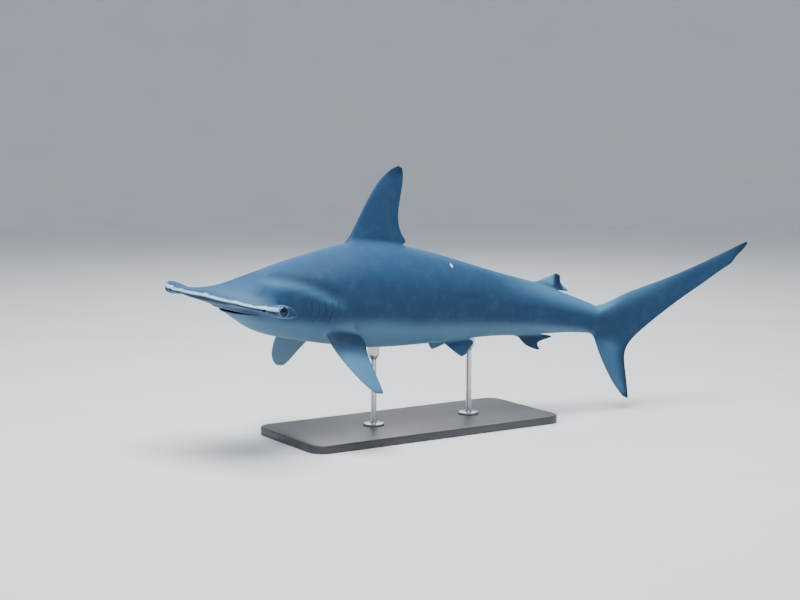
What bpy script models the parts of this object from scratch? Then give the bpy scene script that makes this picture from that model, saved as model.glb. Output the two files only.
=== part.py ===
"""A life-size scalloped hammerhead shark on a display stand.

The animal is modelled straight, in metres: x runs back from the tip of the snout, y to its
right and z up. One cage of quads holds the head, body and fins. It is smoothed by subdivision,
parted into its named pieces with thin cuts, and each piece is then bent into the swimming pose.
"""

import math

import bmesh
import bpy
from mathutils import Matrix, Vector
from mathutils.bvhtree import BVHTree

# Thin cuts between touching pieces
GAP = 0.0004
SLIVER = 0.000005

# Outline of the body along its length: (x, height), (x, half width)
BACK = [
    (0.035, 0.001), (0.070, 0.010), (0.102, 0.019), (0.167, 0.043), (0.242, 0.075), (0.337, 0.108),
    (0.431, 0.138), (0.525, 0.167), (0.580, 0.182), (0.690, 0.192), (0.800, 0.187), (0.946, 0.166),
    (1.115, 0.134), (1.202, 0.119), (1.311, 0.102), (1.400, 0.081), (1.492, 0.057), (1.560, 0.038),
]
BELLY = [
    (0.035, -0.004), (0.080, -0.019), (0.130, -0.037), (0.181, -0.066), (0.251, -0.098),
    (0.317, -0.114), (0.400, -0.123), (0.500, -0.132), (0.667, -0.141), (0.777, -0.136),
    (0.945, -0.118), (1.085, -0.098), (1.169, -0.086), (1.276, -0.078), (1.382, -0.067),
    (1.487, -0.057), (1.560, -0.056),
]
HALF_WIDTH = [
    (0.250, 0.106), (0.310, 0.111), (0.370, 0.116), (0.457, 0.120), (0.580, 0.123), (0.700, 0.122),
    (0.830, 0.115), (0.950, 0.102), (1.090, 0.086), (1.210, 0.071), (1.317, 0.059), (1.390, 0.051),
    (1.480, 0.042), (1.560, 0.035),
]
SIDE_SHARE = 0.47  # the widest level, as a share of the depth above the belly
CAGE_OVERSIZE = 1.02  # subdivision draws a round cage in by about this much
SMOOTH_LEVELS = 2
SHARK_TRIANGLES = 7300  # of the whole animal, before the small forms and the cuts

# Rings of the cage along the body. The fins stand on the faces between some of them.
NECK_X = 0.250
RINGS = [
    NECK_X, 0.310, 0.370, 0.420,
    0.457, 0.484, 0.511, 0.538, 0.565,
    0.580, 0.615, 0.655, 0.695, 0.735, 0.775,
    0.830, 0.890,
    0.950, 0.978, 1.006, 1.035,
    1.090, 1.150, 1.210,
    1.270, 1.293, 1.317, 1.345, 1.368, 1.390,
    1.430, 1.480, 1.530, 1.560,
]
PECTORAL_BASE = (0.457, 0.565)
DORSAL_BASE = (0.580, 0.775)
PELVIC_BASE = (0.950, 1.035)
ANAL_BASE = (1.270, 1.345)
SECOND_DORSAL_BASE = (1.317, 1.390)

# Angles round a ring, from the back (0) to the belly (180), at some places along the body
RING_ANGLES = [
    [(0.25, 0.0)],
    [(0.25, 7.0), (1.39, 7.0), (1.56, 14.0)],
    [(0.25, 34.0), (0.31, 36.0), (0.42, 46.0), (0.51, 48.0), (0.62, 36.0), (1.39, 34.0), (1.56, 38.0)],
    [(0.25, 52.0), (0.31, 57.0), (0.37, 64.0), (0.43, 71.0), (0.51, 76.0), (0.62, 66.0), (0.75, 62.0)],
    [(0.25, 90.0), (0.43, 96.0), (0.51, 98.0), (0.62, 90.0)],
    [(0.25, 114.0), (0.40, 116.0), (0.457, 118.0), (0.565, 118.0), (0.70, 114.0)],
    [(0.25, 138.0), (0.40, 136.0), (0.457, 136.0), (0.565, 136.0), (0.70, 138.0), (0.90, 144.0),
     (0.95, 146.0), (1.035, 146.0), (1.15, 140.0)],
    [(0.25, 166.0), (0.70, 168.0), (0.90, 164.0), (0.95, 162.0), (1.035, 162.0), (1.15, 168.0),
     (1.27, 172.0), (1.56, 169.0)],
    [(0.25, 180.0)],
]
# The gill region swells sideways under a crest that sinks from the back of the head to the flank:
# how much further out than the round body the ring's points 2, 3 and 4 stand
GILL_SWELL = {
    2: [(0.25, 0.97), (0.31, 0.94), (0.37, 0.94), (0.43, 0.955), (0.51, 0.985), (0.60, 1.0)],
    3: [(0.25, 1.03), (0.31, 1.065), (0.37, 1.06), (0.43, 1.05), (0.51, 1.02), (0.60, 1.0)],
    4: [(0.25, 1.02), (0.31, 1.035), (0.43, 1.03), (0.51, 1.01), (0.60, 1.0)],
}
HALF_RING = len(RING_ANGLES) - 1
RING_COUNT = 2 * HALF_RING

# Hammer: its outline seen from above, (y, x), and its thickness and level, (y, z)
HEAD_HALF_WIDTH = 0.252
FRONT_EDGE = [
    (0.0, 0.039), (0.020, 0.033), (0.055, 0.032), (0.092, 0.037), (0.117, 0.052), (0.142, 0.052),
    (0.174, 0.063), (0.197, 0.089), (0.213, 0.086), (0.231, 0.094), (0.244, 0.107),
    (HEAD_HALF_WIDTH, 0.132),
]
REAR_EDGE = [
    (0.100, 0.262), (0.114, 0.240), (0.138, 0.216), (0.165, 0.203), (0.195, 0.199), (0.220, 0.201),
    (0.234, 0.200), (0.245, 0.189), (HEAD_HALF_WIDTH, 0.154),
]
WING_THICKNESS = [
    (0.0, 0.044), (0.09, 0.033), (0.13, 0.026), (0.165, 0.024), (0.188, 0.026), (0.205, 0.032),
    (0.222, 0.038), (0.239, 0.040), (HEAD_HALF_WIDTH, 0.036),
]
REAR_DROP = [(0.100, 0.004), (0.150, 0.007), (HEAD_HALF_WIDTH, 0.010)]  # of the wing's rear edge
UPPER_SHARE = 0.53  # the share of the wing's thickness above its edge
WING_LEVEL = [(0.0, 0.0), (0.12, -0.003), (0.20, -0.007), (HEAD_HALF_WIDTH, -0.007)]
CENTRE_FRONTS = [0.0, 0.030, 0.060, 0.090]  # y at the front of the lines that run to the neck
WING_FRONTS = [0.116, 0.140, 0.161, 0.181, 0.197, 0.212, 0.228, 0.242, HEAD_HALF_WIDTH]
WING_REARS = [0.110, 0.130, 0.151, 0.172, 0.192, 0.210, 0.226, 0.240, HEAD_HALF_WIDTH]
CHORD_SHARES = [0.03, 0.12, 0.27, 0.46, 0.66, 0.86]
CHORD_FULLNESS = [0.46, 0.80, 1.0, 0.96, 0.72, 0.38]
UPPER_DOME = [(0.035, 0.150), (0.10, 0.122), (0.16, 0.112), (NECK_X, 0.106)]  # (x, half width)
LOWER_DOME = [(0.035, 0.18), (0.10, 0.118), (0.16, 0.100), (NECK_X, 0.106)]
DOME_BLEND = 0.008

# Tail fin: (top x, top z, bottom x, bottom z, thickness) of each section of the upper lobe
UPPER_LOBE = [
    (1.600, 0.052, 1.588, -0.072, 0.056),
    (1.648, 0.084, 1.626, -0.088, 0.043),
    (1.702, 0.110, 1.658, -0.090, 0.034),
    (1.768, 0.138, 1.698, -0.068, 0.027),
    (1.846, 0.175, 1.772, 0.004, 0.021),
    (1.920, 0.215, 1.858, 0.083, 0.016),
    (1.978, 0.250, 1.940, 0.148, 0.013),
    (2.012, 0.270, 2.000, 0.204, 0.010),
    (2.027, 0.279, 2.034, 0.226, 0.008),
    (2.036, 0.285, 2.042, 0.253, 0.007),
    (2.056, 0.296, 2.062, 0.272, 0.006),
    (2.076, 0.308, 2.078, 0.300, 0.004),
]
LOBE_SHARES = [0.0, 0.03, 0.16, 0.34, 0.52, 0.70, 0.86, 0.975, 1.0]  # from the top edge down
LOBE_FULLNESS = [0.0, 0.55, 1.0, 0.92, 0.72, 0.50, 0.30, 0.14, 0.0]
LOWER_LOBE_SECTIONS = 4  # the lower lobe grows from under the first sections of the upper one

# Upright fins: (front x, front z, rear x, rear z, thickness) of each section from root to tip
DORSAL_FIN = [
    (0.592, 0.210, 0.815, 0.200, 0.034),
    (0.608, 0.246, 0.782, 0.224, 0.027),
    (0.633, 0.302, 0.762, 0.276, 0.022),
    (0.658, 0.357, 0.766, 0.334, 0.018),
    (0.690, 0.404, 0.771, 0.388, 0.014),
    (0.726, 0.434, 0.768, 0.422, 0.009),
    (0.748, 0.443, 0.762, 0.438, 0.005),
]
SECOND_DORSAL_FIN = [
    (1.334, 0.113, 1.470, 0.075, 0.015),
    (1.354, 0.121, 1.419, 0.099, 0.011),
    (1.375, 0.130, 1.412, 0.118, 0.008),
    (1.396, 0.139, 1.412, 0.132, 0.004),
]
ANAL_FIN = [
    (1.282, -0.094, 1.432, -0.074, 0.015),
    (1.298, -0.108, 1.354, -0.094, 0.011),
    (1.322, -0.119, 1.349, -0.109, 0.008),
    (1.352, -0.126, 1.366, -0.125, 0.004),
]
LOWER_LOBE = [
    (1.576, -0.104, 1.680, -0.108, 0.030),
    (1.602, -0.150, 1.685, -0.148, 0.020),
    (1.632, -0.198, 1.697, -0.196, 0.015),
    (1.662, -0.238, 1.707, -0.240, 0.010),
    (1.694, -0.268, 1.713, -0.275, 0.005),
]

# Paired fins: (distance out from the root, front x, rear x, thickness), and their droop
PECTORAL_FIN = [
    (0.020, 0.4585, 0.588, 0.023),
    (0.052, 0.4565, 0.602, 0.020),
    (0.092, 0.461, 0.586, 0.017),
    (0.140, 0.476, 0.581, 0.015),
    (0.190, 0.495, 0.580, 0.012),
    (0.234, 0.518, 0.579, 0.009),
    (0.266, 0.547, 0.575, 0.005),
]
PECTORAL_DROOP = 40.0
PELVIC_FIN = [
    (0.011, 0.952, 1.080, 0.014),
    (0.030, 0.967, 1.064, 0.011),
    (0.050, 0.985, 1.038, 0.008),
    (0.068, 1.003, 1.025, 0.004),
]
PELVIC_DROOP = 45.0
FIN_SHARES = {2: [0.05, 0.45, 0.96], 3: [0.04, 0.30, 0.66, 0.97], 4: [0.04, 0.24, 0.50, 0.76, 0.975],
              5: [0.03, 0.18, 0.38, 0.60, 0.82, 0.98]}
FIN_EDGE_FULLNESS = 0.34

# Swimming pose: the head is rigid, the neck and tail bend to the left, and the nose is raised
STILL_X = 0.792  # the body is straight here and bends away ahead of it and behind it
TAIL_END_X = 2.2
HEAD_TURN = 17.5
NECK_POWER = 2.8
TAIL_TURN = 37.7
TAIL_POWER = 1.5
HEAD_ROLL = 2.4  # the left side down
NOSE_UP = 6.6
BEND_STEPS = 440

# Cuts between the pieces, each a thin plate: (x, lean in degrees, half height, centre z)
BODY_CUTS = [
    (0.262, 0.0, 0.150, 0.0),
    (0.590, 11.0, 0.185, 0.025),
    (0.868, 0.0, 0.175, 0.030),
    (1.110, 0.0, 0.140, 0.015),
    (1.245, 0.0, 0.115, 0.015),
]
BODY_CUT_HALF_WIDTH = 0.150
TAIL_CUT_X = 1.574
TAIL_CUT_TOP = 0.110
LOBE_CUT_Y = 0.168
LOBE_CUT_X = (0.040, 0.235)
LOBE_CUT_HALF_HEIGHT = 0.045
DORSAL_CUT = ((0.560, 0.1975), (0.835, 0.1960))
SECOND_DORSAL_CUT = ((1.295, 0.1118), (1.490, 0.0650))
ANAL_CUT = ((1.252, -0.0858), (1.450, -0.0660))
LOWER_LOBE_CUT = ((1.536, -0.0780), (1.722, -0.1060))
FIN_CUT_HALF_WIDTH = 0.045
PECTORAL_CUT = (0.013, 0.436, 0.625, 0.034, PECTORAL_DROOP)  # distance, x range, half width, droop
PELVIC_CUT = (0.008, 0.934, 1.100, 0.022, 62.0)

# Mouth: a wedge that opens forward, and a fine cut that frees the jaw behind it
MOUTH_Z = -0.0415
MOUTH_FRONT_X = 0.100
MOUTH_HINGE_X = 0.192
MOUTH_GAPE = 0.017
MOUTH_HALF_WIDTH = 0.072
MOUTH_STATIONS = 9
JAW_END_X = 0.228
JAW_CUT_HALF_WIDTH = 0.130
LIP_PIVOT_X = 0.215  # the lips run round this place as seen from below
LIP_TURN = 66.0  # degrees either side of straight ahead
LIP_RISE = 0.0064  # of the lip's middle line above or below the mouth's own level, in front
LIP_RADIUS = 0.0044
LIP_POINTS = 11

# Gills: a slit and the flap in front of it that covers it, at five places on each side
GILL_XS = [0.378, 0.407, 0.435, 0.461, 0.485]
GILL_HALF_HEIGHTS = [0.029, 0.032, 0.033, 0.031, 0.025]
GILL_MIDDLE_ZS = [-0.026, -0.027, -0.028, -0.026, -0.019]
GILL_BOW = 0.005
GILL_STATIONS = 6
FLAP_LENGTH = 0.019
FLAP_LIFT = 0.0042
FLAP_OVERHANG = 0.0035
FLAP_ROOT_DEPTH = 0.0030
SLIT_DEPTH = 0.0070
SLIT_WIDTH = 0.0052
SLIT_REACH = 0.88  # of the flap's height

# Nostrils: a pit in the notch of the front edge, with a groove that runs inward along the edge
NOSTRIL_AT = (0.0900, 0.1975, -0.0095)
NOSTRIL_SIZE = (0.0070, 0.0085, 0.0042)
GROOVE_YS = (0.194, 0.128)
GROOVE_DROP = 0.0035
GROOVE_RADII = (0.0030, 0.0012)
GROOVE_POINTS = 6

# Eyes: flattened balls at the ends of the hammer
EYE_X = 0.116
EYE_Z = -0.0055
EYE_FORWARD = 12.0  # degrees that each eye faces forward of straight sideways
EYE_RADIUS = 0.0150
EYE_DEPTH = 0.0100
EYE_STAND_OUT = 0.0035
EYE_SEGMENTS = 16
EYE_RINGS = 8
LID_RADII = (0.0160, 0.0158)  # along and up, to the middle of the lid's rim
LID_RIM_RADIUS = 0.0026
LID_POINTS = 18
ROPE_SIDES = 5

# Display stand, in metres above the floor
SHARK_LEVEL = 0.412  # height of the body's middle line where it is straight
BASE_LENGTH = 0.940
BASE_WIDTH = 0.400
BASE_THICKNESS = 0.026
BASE_CORNER = 0.050
BASE_EDGE = 0.004
BASE_AT_X = 0.850
ROD_XS = {"front": 0.720, "rear": 1.085}
ROD_RADIUS = 0.009
ROD_FOOT_RADIUS = 0.034
ROD_FOOT_HEIGHT = 0.007
ROD_PAD_RADIUS = 0.019
ROD_PAD_HEIGHT = 0.018
ROD_SEGMENTS = 16
ROD_SINK = 0.030  # how far a rod would reach into the body before the body's shape is cut from it

# One point inside each piece of the animal: x, y, z
SEEDS = {
    "head": (0.150, 0.0, 0.010),
    "lower_jaw": (0.200, 0.0, -0.065),
    "head_lobe_left": (0.150, -0.200, -0.004),
    "head_lobe_right": (0.150, 0.200, -0.004),
    "neck": (0.400, 0.0, 0.0),
    "trunk_front": (0.720, 0.0, 0.0),
    "trunk_rear": (0.980, 0.0, 0.0),
    "tail_front": (1.180, 0.0, 0.010),
    "tail_rear": (1.400, 0.0, 0.005),
    "dorsal_fin_first": (0.700, 0.0, 0.300),
    "dorsal_fin_second": (1.370, 0.0, 0.112),
    "anal_fin": (1.315, 0.0, -0.095),
    "caudal_fin_upper": (1.640, 0.0, 0.010),
    "caudal_fin_lower": (1.640, 0.0, -0.150),
}
PAIRED_SEEDS = {"pectoral_fin": (0.520, 0.060, PECTORAL_DROOP), "pelvic_fin": (1.010, 0.030, PELVIC_DROOP)}

SKIN_COLOURS = {
    "head": (0.235, 0.330, 0.400), "neck": (0.215, 0.305, 0.375), "trunk": (0.200, 0.290, 0.360),
    "tail": (0.195, 0.285, 0.355), "fin": (0.170, 0.250, 0.320), "jaw": (0.560, 0.640, 0.680),
}
SKIN_ROUGHNESS = 0.55
EYE_COLOUR = (0.020, 0.024, 0.030)
EYE_ROUGHNESS = 0.08
STAND_COLOUR = (0.110, 0.115, 0.120)
STAND_ROUGHNESS = 0.45
STEEL_COLOUR = (0.560, 0.570, 0.580)
STEEL_ROUGHNESS = 0.28


def along(points, at):
    """Value at a place on a smooth curve through (place, value) points."""
    if at <= points[0][0]:
        return points[0][1]
    if at >= points[-1][0]:
        return points[-1][1]
    last = len(points) - 1
    i = max(n for n in range(last) if points[n][0] <= at)

    def slope(n):
        before, after = points[max(n - 1, 0)], points[min(n + 1, last)]
        return (after[1] - before[1]) / (after[0] - before[0])

    (x0, v0), (x1, v1) = points[i], points[i + 1]
    width = x1 - x0
    t = (at - x0) / width
    rise0, rise1 = slope(i) * width, slope(i + 1) * width
    return (
        v0 * (1 + 2 * t) * (1 - t) ** 2 + rise0 * t * (1 - t) ** 2
        + v1 * t * t * (3 - 2 * t) + rise1 * t * t * (t - 1)
    )


def mix(a, b, share):
    return a + (b - a) * share


def body_ring(x):
    """Points of one ring of the body: the back first, then down its right side and up the left."""
    top, bottom, half = along(BACK, x), along(BELLY, x), along(HALF_WIDTH, x)
    side = mix(bottom, top, SIDE_SHARE)
    right = []
    for n, spots in enumerate(RING_ANGLES):
        angle = math.radians(along(spots, x))
        size = CAGE_OVERSIZE * along(GILL_SWELL.get(n, [(0.0, 1.0)]), x)
        reach = top - side if math.cos(angle) > 0 else side - bottom
        y = size * half * math.sin(angle)
        z = side + size * reach * math.cos(angle)
        right.append(Vector((x, y, z)))
    right[0].y = right[-1].y = 0.0
    return right + [Vector((p.x, -p.y, p.z)) for p in right[-2:0:-1]]


def lobe_ring(section):
    """Points of one flat ring of the tail fin's upper lobe."""
    top_x, top_z, bottom_x, bottom_z, thickness = section
    right = []
    for share, fullness in zip(LOBE_SHARES, LOBE_FULLNESS):
        right.append(Vector((
            mix(top_x, bottom_x, share), thickness / 2 * fullness, mix(top_z, bottom_z, share),
        )))
    return right + [Vector((p.x, -p.y, p.z)) for p in right[-2:0:-1]]


class Cage:
    """Vertices and faces of a quad cage, where a vertex is found again by its key."""

    def __init__(self):
        self.points = []
        self.index = {}
        self.faces = []

    def vertex(self, key, place=None):
        if key not in self.index:
            self.index[key] = len(self.points)
            self.points.append(Vector(place))
        return self.index[key]

    def face(self, *corners):
        self.faces.append(corners)

    def close(self, loop):
        """Closes a flat loop whose first and middle vertices are its front and rear edges."""
        half = len(loop) // 2
        one, other = loop[1:half], loop[:half:-1]
        self.face(loop[0], one[0], other[0])
        for n in range(len(one) - 1):
            self.face(one[n], one[n + 1], other[n + 1], other[n])
        self.face(one[-1], loop[half], other[-1])

    def mesh_object(self, name, levels):
        """The cage as an object, smoothed by subdivision."""
        bm = bmesh.new()
        verts = [bm.verts.new(p) for p in self.points]
        for corners in self.faces:
            bm.faces.new([verts[n] for n in corners])
        bmesh.ops.recalc_face_normals(bm, faces=bm.faces)
        made = object_from(name, bm)
        smooth = made.modifiers.new("smooth", "SUBSURF")
        smooth.levels = smooth.render_levels = levels
        apply_modifiers(made)
        return made


def object_from(name, bm):
    mesh = bpy.data.meshes.new(name)
    bm.to_mesh(mesh)
    bm.free()
    made = bpy.data.objects.new(name, mesh)
    bpy.context.scene.collection.objects.link(made)
    return made


def apply_modifiers(made):
    """Puts the shape that the modifiers give into the object's own mesh."""
    graph = bpy.context.evaluated_depsgraph_get()
    shaped = bpy.data.meshes.new_from_object(made.evaluated_get(graph))
    old = made.data
    made.modifiers.clear()
    made.data = shaped
    bpy.data.meshes.remove(old)


def dome(x, y, widths, height):
    """Height of the rounded middle of the head above its side level."""
    half = along(widths, x)
    return height * math.sqrt(max(0.0, 1 - (y / half) ** 2))


def larger(a, b, blend):
    """The larger of two heights, with the crease between them rounded."""
    near = max(blend - abs(a - b), 0.0) / blend
    return max(a, b) + near * near * blend / 4


def wing_level(y, share):
    """Height of the middle of the wing's thickness, at a share of the way back."""
    return along(WING_LEVEL, y) - along(REAR_DROP, y) * share ** 2


def head_height(x, y, share, fullness, upper):
    """Height of the head's upper or lower surface."""
    side = mix(along(BELLY, x), along(BACK, x), SIDE_SHARE)
    level = wing_level(y, share)
    wing = along(WING_THICKNESS, y) * fullness
    centre = mix(side, 0.0, 1 - min(x / NECK_X, 1.0))
    if upper:
        middle = centre + dome(x, y, UPPER_DOME, along(BACK, x) - centre)
        return larger(level + UPPER_SHARE * wing, middle, DOME_BLEND)
    middle = dome(x, y, LOWER_DOME, centre - along(BELLY, x)) - centre
    return -larger((1 - UPPER_SHARE) * wing - level, middle, DOME_BLEND)


def head_lines(neck):
    """Lines of points from the front edge back, for the right side, the upper and lower ones in pairs."""
    lines = []
    for n, y_front in enumerate(CENTRE_FRONTS):
        x_front = along(FRONT_EDGE, y_front)
        edge = Vector((x_front, y_front, along(WING_LEVEL, y_front)))
        pair = []
        for upper in (True, False):
            end = neck[n] if upper else neck[HALF_RING - n]
            line = [edge]
            for share, fullness in zip(CHORD_SHARES, CHORD_FULLNESS):
                x = mix(x_front, NECK_X, share)
                y = mix(y_front, end.y, share ** 1.4)
                line.append(Vector((x, y, head_height(x, y, share, fullness, upper))))
            pair.append(line + [end])
        lines.append(pair)
    for n, (y_front, y_rear) in enumerate(zip(WING_FRONTS, WING_REARS)):
        x_front, x_rear = along(FRONT_EDGE, y_front), along(REAR_EDGE, y_rear)
        edge = Vector((x_front, y_front, along(WING_LEVEL, y_front)))
        end = neck[HALF_RING // 2] if n == 0 else Vector((x_rear, y_rear, wing_level(y_rear, 1.0)))
        pair = []
        for upper in (True, False):
            line = [edge]
            for share, fullness in zip(CHORD_SHARES, CHORD_FULLNESS):
                x, y = mix(x_front, end.x, share), mix(y_front, end.y, share)
                line.append(Vector((x, y, head_height(x, y, share, fullness, upper))))
            pair.append(line + [end])
        lines.append(pair)
    return lines


def add_head(cage, neck):
    """The hammer and the head's middle, from the front edge back to the neck ring."""
    lines = head_lines(neck)
    outer, rows = len(lines) - 1, len(CHORD_SHARES) + 1
    centre = len(CENTRE_FRONTS)

    def spot(j, row, upper):
        side, n = (1 if j >= 0 else -1), abs(j)
        place = lines[n][0 if upper else 1][row].copy()
        place.y *= side
        if row == 0:
            key = ("edge", j)
        elif row < rows:
            key = ("head", j, row, upper)
        elif n < centre:
            key = ("ring", 0, (j if upper else HALF_RING - j) % RING_COUNT)
        elif n == centre:
            key = ("ring", 0, side * HALF_RING // 2 % RING_COUNT)
        else:
            key = ("rear", j)
        return cage.vertex(key, place)

    for j in range(-outer, outer):
        for row in range(rows):
            for upper in (True, False):
                cage.face(spot(j, row, upper), spot(j + 1, row, upper),
                          spot(j + 1, row + 1, upper), spot(j, row + 1, upper))
    for j in (-outer, outer):
        top = [spot(j, row, True) for row in range(rows + 1)]
        under = [spot(j, row, False) for row in range(rows - 1, 0, -1)]
        cage.close(top + under)


def fin_point(front, rear, share, side, thickness):
    """A point on one face of a thin fin, between its front and rear edges."""
    full = 1.0 if 0.2 < share < 0.7 else FIN_EDGE_FULLNESS + 0.6 * (4 * share * (1 - share)) ** 0.6
    return mix(front, rear, share), side * thickness / 2 * full


def grow_upright(cage, base, sections):
    """Grows an upright fin from a strip two faces wide: base holds (left, middle, right) vertices."""
    shares = FIN_SHARES[len(base) - 1]
    below = ([base[0][1]] + [row[2] for row in base] + [base[-1][1]] + [row[0] for row in base[::-1]])
    for front_x, front_z, rear_x, rear_z, thickness in sections:
        front, rear = Vector((front_x, 0, front_z)), Vector((rear_x, 0, rear_z))
        loop = [cage.vertex(("fin", len(cage.points)), front)]
        for side, order in ((1, shares), (-1, shares[::-1])):
            for share in order:
                place, y = fin_point(front, rear, share, side, thickness)
                loop.append(cage.vertex(("fin", len(cage.points)), place + Vector((0, y, 0))))
            if side > 0:
                loop.append(cage.vertex(("fin", len(cage.points)), rear))
        for n in range(len(loop)):
            m = (n + 1) % len(loop)
            cage.face(below[n], below[m], loop[m], loop[n])
        below = loop
    cage.close(below)


def grow_paired(cage, base, sections, droop, side):
    """Grows a paired fin from a strip one face wide: base holds (upper, lower) vertices."""
    shares = FIN_SHARES[len(base) - 1]
    middle = [(cage.points[a] + cage.points[b]) / 2 for a, b in base]
    root_front, root_rear = middle[0], middle[-1]
    angle = math.radians(droop)
    out = Vector((0, side * math.cos(angle), -math.sin(angle)))
    normal = Vector((0, side * math.sin(angle), math.cos(angle)))
    below = [pair[0] for pair in base] + [pair[1] for pair in base[::-1]]
    for distance, front_x, rear_x, thickness in sections:
        loop = []
        for face, order in ((1, shares), (-1, shares[::-1])):
            for share in order:
                reach = 0.0 if share == shares[0] else 1.0 if share == shares[-1] else share
                x = mix(front_x, rear_x, reach)
                _, lift = fin_point(root_front, root_rear, share, face, thickness)
                root = mix(root_front, root_rear, reach)
                loop.append(cage.vertex(("fin", len(cage.points)),
                                        Vector((x, root.y, root.z)) + out * distance + normal * lift))
        for n in range(len(loop)):
            m = (n + 1) % len(loop)
            cage.face(below[n], below[m], loop[m], loop[n])
        below = loop
    half = len(below) // 2
    for n in range(half - 1):
        cage.face(below[n], below[n + 1], below[-2 - n], below[-1 - n])


def shark_cage(with_fins):
    """The whole animal as one cage, or its head and body alone, with the upper lobe of the tail."""
    cage = Cage()
    rings = [body_ring(x) for x in RINGS] + [lobe_ring(s) for s in UPPER_LOBE]
    for i, ring in enumerate(rings):
        for k, place in enumerate(ring):
            cage.vertex(("ring", i, k), place)

    def at(i, k):
        return cage.index[("ring", i, k % RING_COUNT)]

    def span(base):
        return range(RINGS.index(base[0]), RINGS.index(base[1]))

    tail = len(RINGS) - 1
    holes = set()
    if with_fins:
        holes |= {(i, k) for i in span(DORSAL_BASE) for k in (-1, 0)}
        holes |= {(i, k) for i in span(SECOND_DORSAL_BASE) for k in (-1, 0)}
        holes |= {(i, k) for i in span(ANAL_BASE) for k in (7, 8)}
        holes |= {(i, k) for i in range(tail, tail + LOWER_LOBE_SECTIONS) for k in (7, 8)}
        holes |= {(i, k) for i in span(PECTORAL_BASE) for k in (5, 10)}
        holes |= {(i, k) for i in span(PELVIC_BASE) for k in (6, 9)}
    holes = {(i, k % RING_COUNT) for i, k in holes}
    for i in range(len(rings) - 1):
        for k in range(RING_COUNT):
            if (i, k) not in holes:
                cage.face(at(i, k), at(i, k + 1), at(i + 1, k + 1), at(i + 1, k))
    cage.close([at(len(rings) - 1, k) for k in range(RING_COUNT)])
    add_head(cage, rings[0])
    if with_fins:
        top, bottom = (-1, 0, 1), (9, 8, 7)

        def strip(base, across):
            rows = list(base) + [base[-1] + 1]
            return [tuple(at(i, k) for k in across) for i in rows]

        grow_upright(cage, strip(span(DORSAL_BASE), top), DORSAL_FIN)
        grow_upright(cage, strip(span(SECOND_DORSAL_BASE), top), SECOND_DORSAL_FIN)
        grow_upright(cage, strip(span(ANAL_BASE), bottom), ANAL_FIN)
        grow_upright(cage, strip(range(tail, tail + LOWER_LOBE_SECTIONS), bottom), LOWER_LOBE)
        for side, upper, lower in ((1, 5, 6), (-1, 11, 10)):
            grow_paired(cage, strip(span(PECTORAL_BASE), (upper, lower)), PECTORAL_FIN, PECTORAL_DROOP, side)
        for side, upper, lower in ((1, 6, 7), (-1, 10, 9)):
            grow_paired(cage, strip(span(PELVIC_BASE), (upper, lower)), PELVIC_FIN, PELVIC_DROOP, side)
    return cage


def turn_at(x):
    """Turn of the body's middle line to the left or right, in radians."""
    if x < STILL_X:
        share = (STILL_X - max(x, NECK_X)) / (STILL_X - NECK_X)
        return -math.radians(HEAD_TURN) * share ** NECK_POWER
    return math.radians(TAIL_TURN) * ((x - STILL_X) / (TAIL_END_X - STILL_X)) ** TAIL_POWER


def roll_at(x):
    """Roll of the head, which fades along the neck."""
    return -math.radians(HEAD_ROLL) * turn_at(min(x, STILL_X)) / math.radians(HEAD_TURN)


def middle_line():
    """Places of the bent middle line, at even steps from the snout to past the tail."""
    step = TAIL_END_X / BEND_STEPS
    places = [Vector((0.0, 0.0))]
    for n in range(BEND_STEPS):
        turn = turn_at((n + 0.5) * step)
        places.append(places[-1] + step * Vector((math.cos(turn), -math.sin(turn))))
    still = STILL_X / step
    n = int(still)
    centre = places[n].lerp(places[n + 1], still - n)
    return [p - centre for p in places]


MIDDLE_LINE = middle_line()


def pose_frame(x):
    """Where the cross-section at x goes in the swimming pose."""
    at = x / TAIL_END_X * BEND_STEPS
    n = min(max(int(at), 0), BEND_STEPS - 1)
    place = MIDDLE_LINE[n].lerp(MIDDLE_LINE[n + 1], at - n)
    bent = Matrix.Translation((place.x, place.y, 0.0)) @ Matrix.Rotation(-turn_at(x), 4, "Z")
    rolled = bent @ Matrix.Rotation(roll_at(x), 4, "X")
    raised = Matrix.Rotation(math.radians(NOSE_UP), 4, "Y")
    return Matrix.Translation((0.0, 0.0, SHARK_LEVEL)) @ raised @ rolled


def posed(point):
    return pose_frame(point[0]) @ Vector((0.0, point[1], point[2]))


def bend_mesh(made):
    for vertex in made.data.vertices:
        vertex.co = posed(vertex.co)


def prism(name, outline, half_width, frame):
    """A solid with an outline in x and z, and its flat sides at y = plus and minus half_width."""
    bm = bmesh.new()
    near = [bm.verts.new(frame @ Vector((x, -half_width, z))) for x, z in outline]
    far = [bm.verts.new(frame @ Vector((x, half_width, z))) for x, z in outline]
    bm.faces.new(near)
    bm.faces.new(far)
    for n in range(len(outline)):
        m = (n + 1) % len(outline)
        bm.faces.new((near[n], near[m], far[m], far[n]))
    bmesh.ops.recalc_face_normals(bm, faces=bm.faces)
    return object_from(name, bm)


def strip_outline(start, end, thickness):
    """Outline of a thin plate seen from its edge."""
    start, end = Vector(start), Vector(end)
    across = (end - start).orthogonal().normalized() * thickness / 2
    return [start - across, end - across, end + across, start + across]


def cut_frame(x):
    """A frame at x that takes straight-body coordinates, for a cutter that stays flat."""
    return pose_frame(x) @ Matrix.Translation((-x, 0.0, 0.0))


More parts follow.
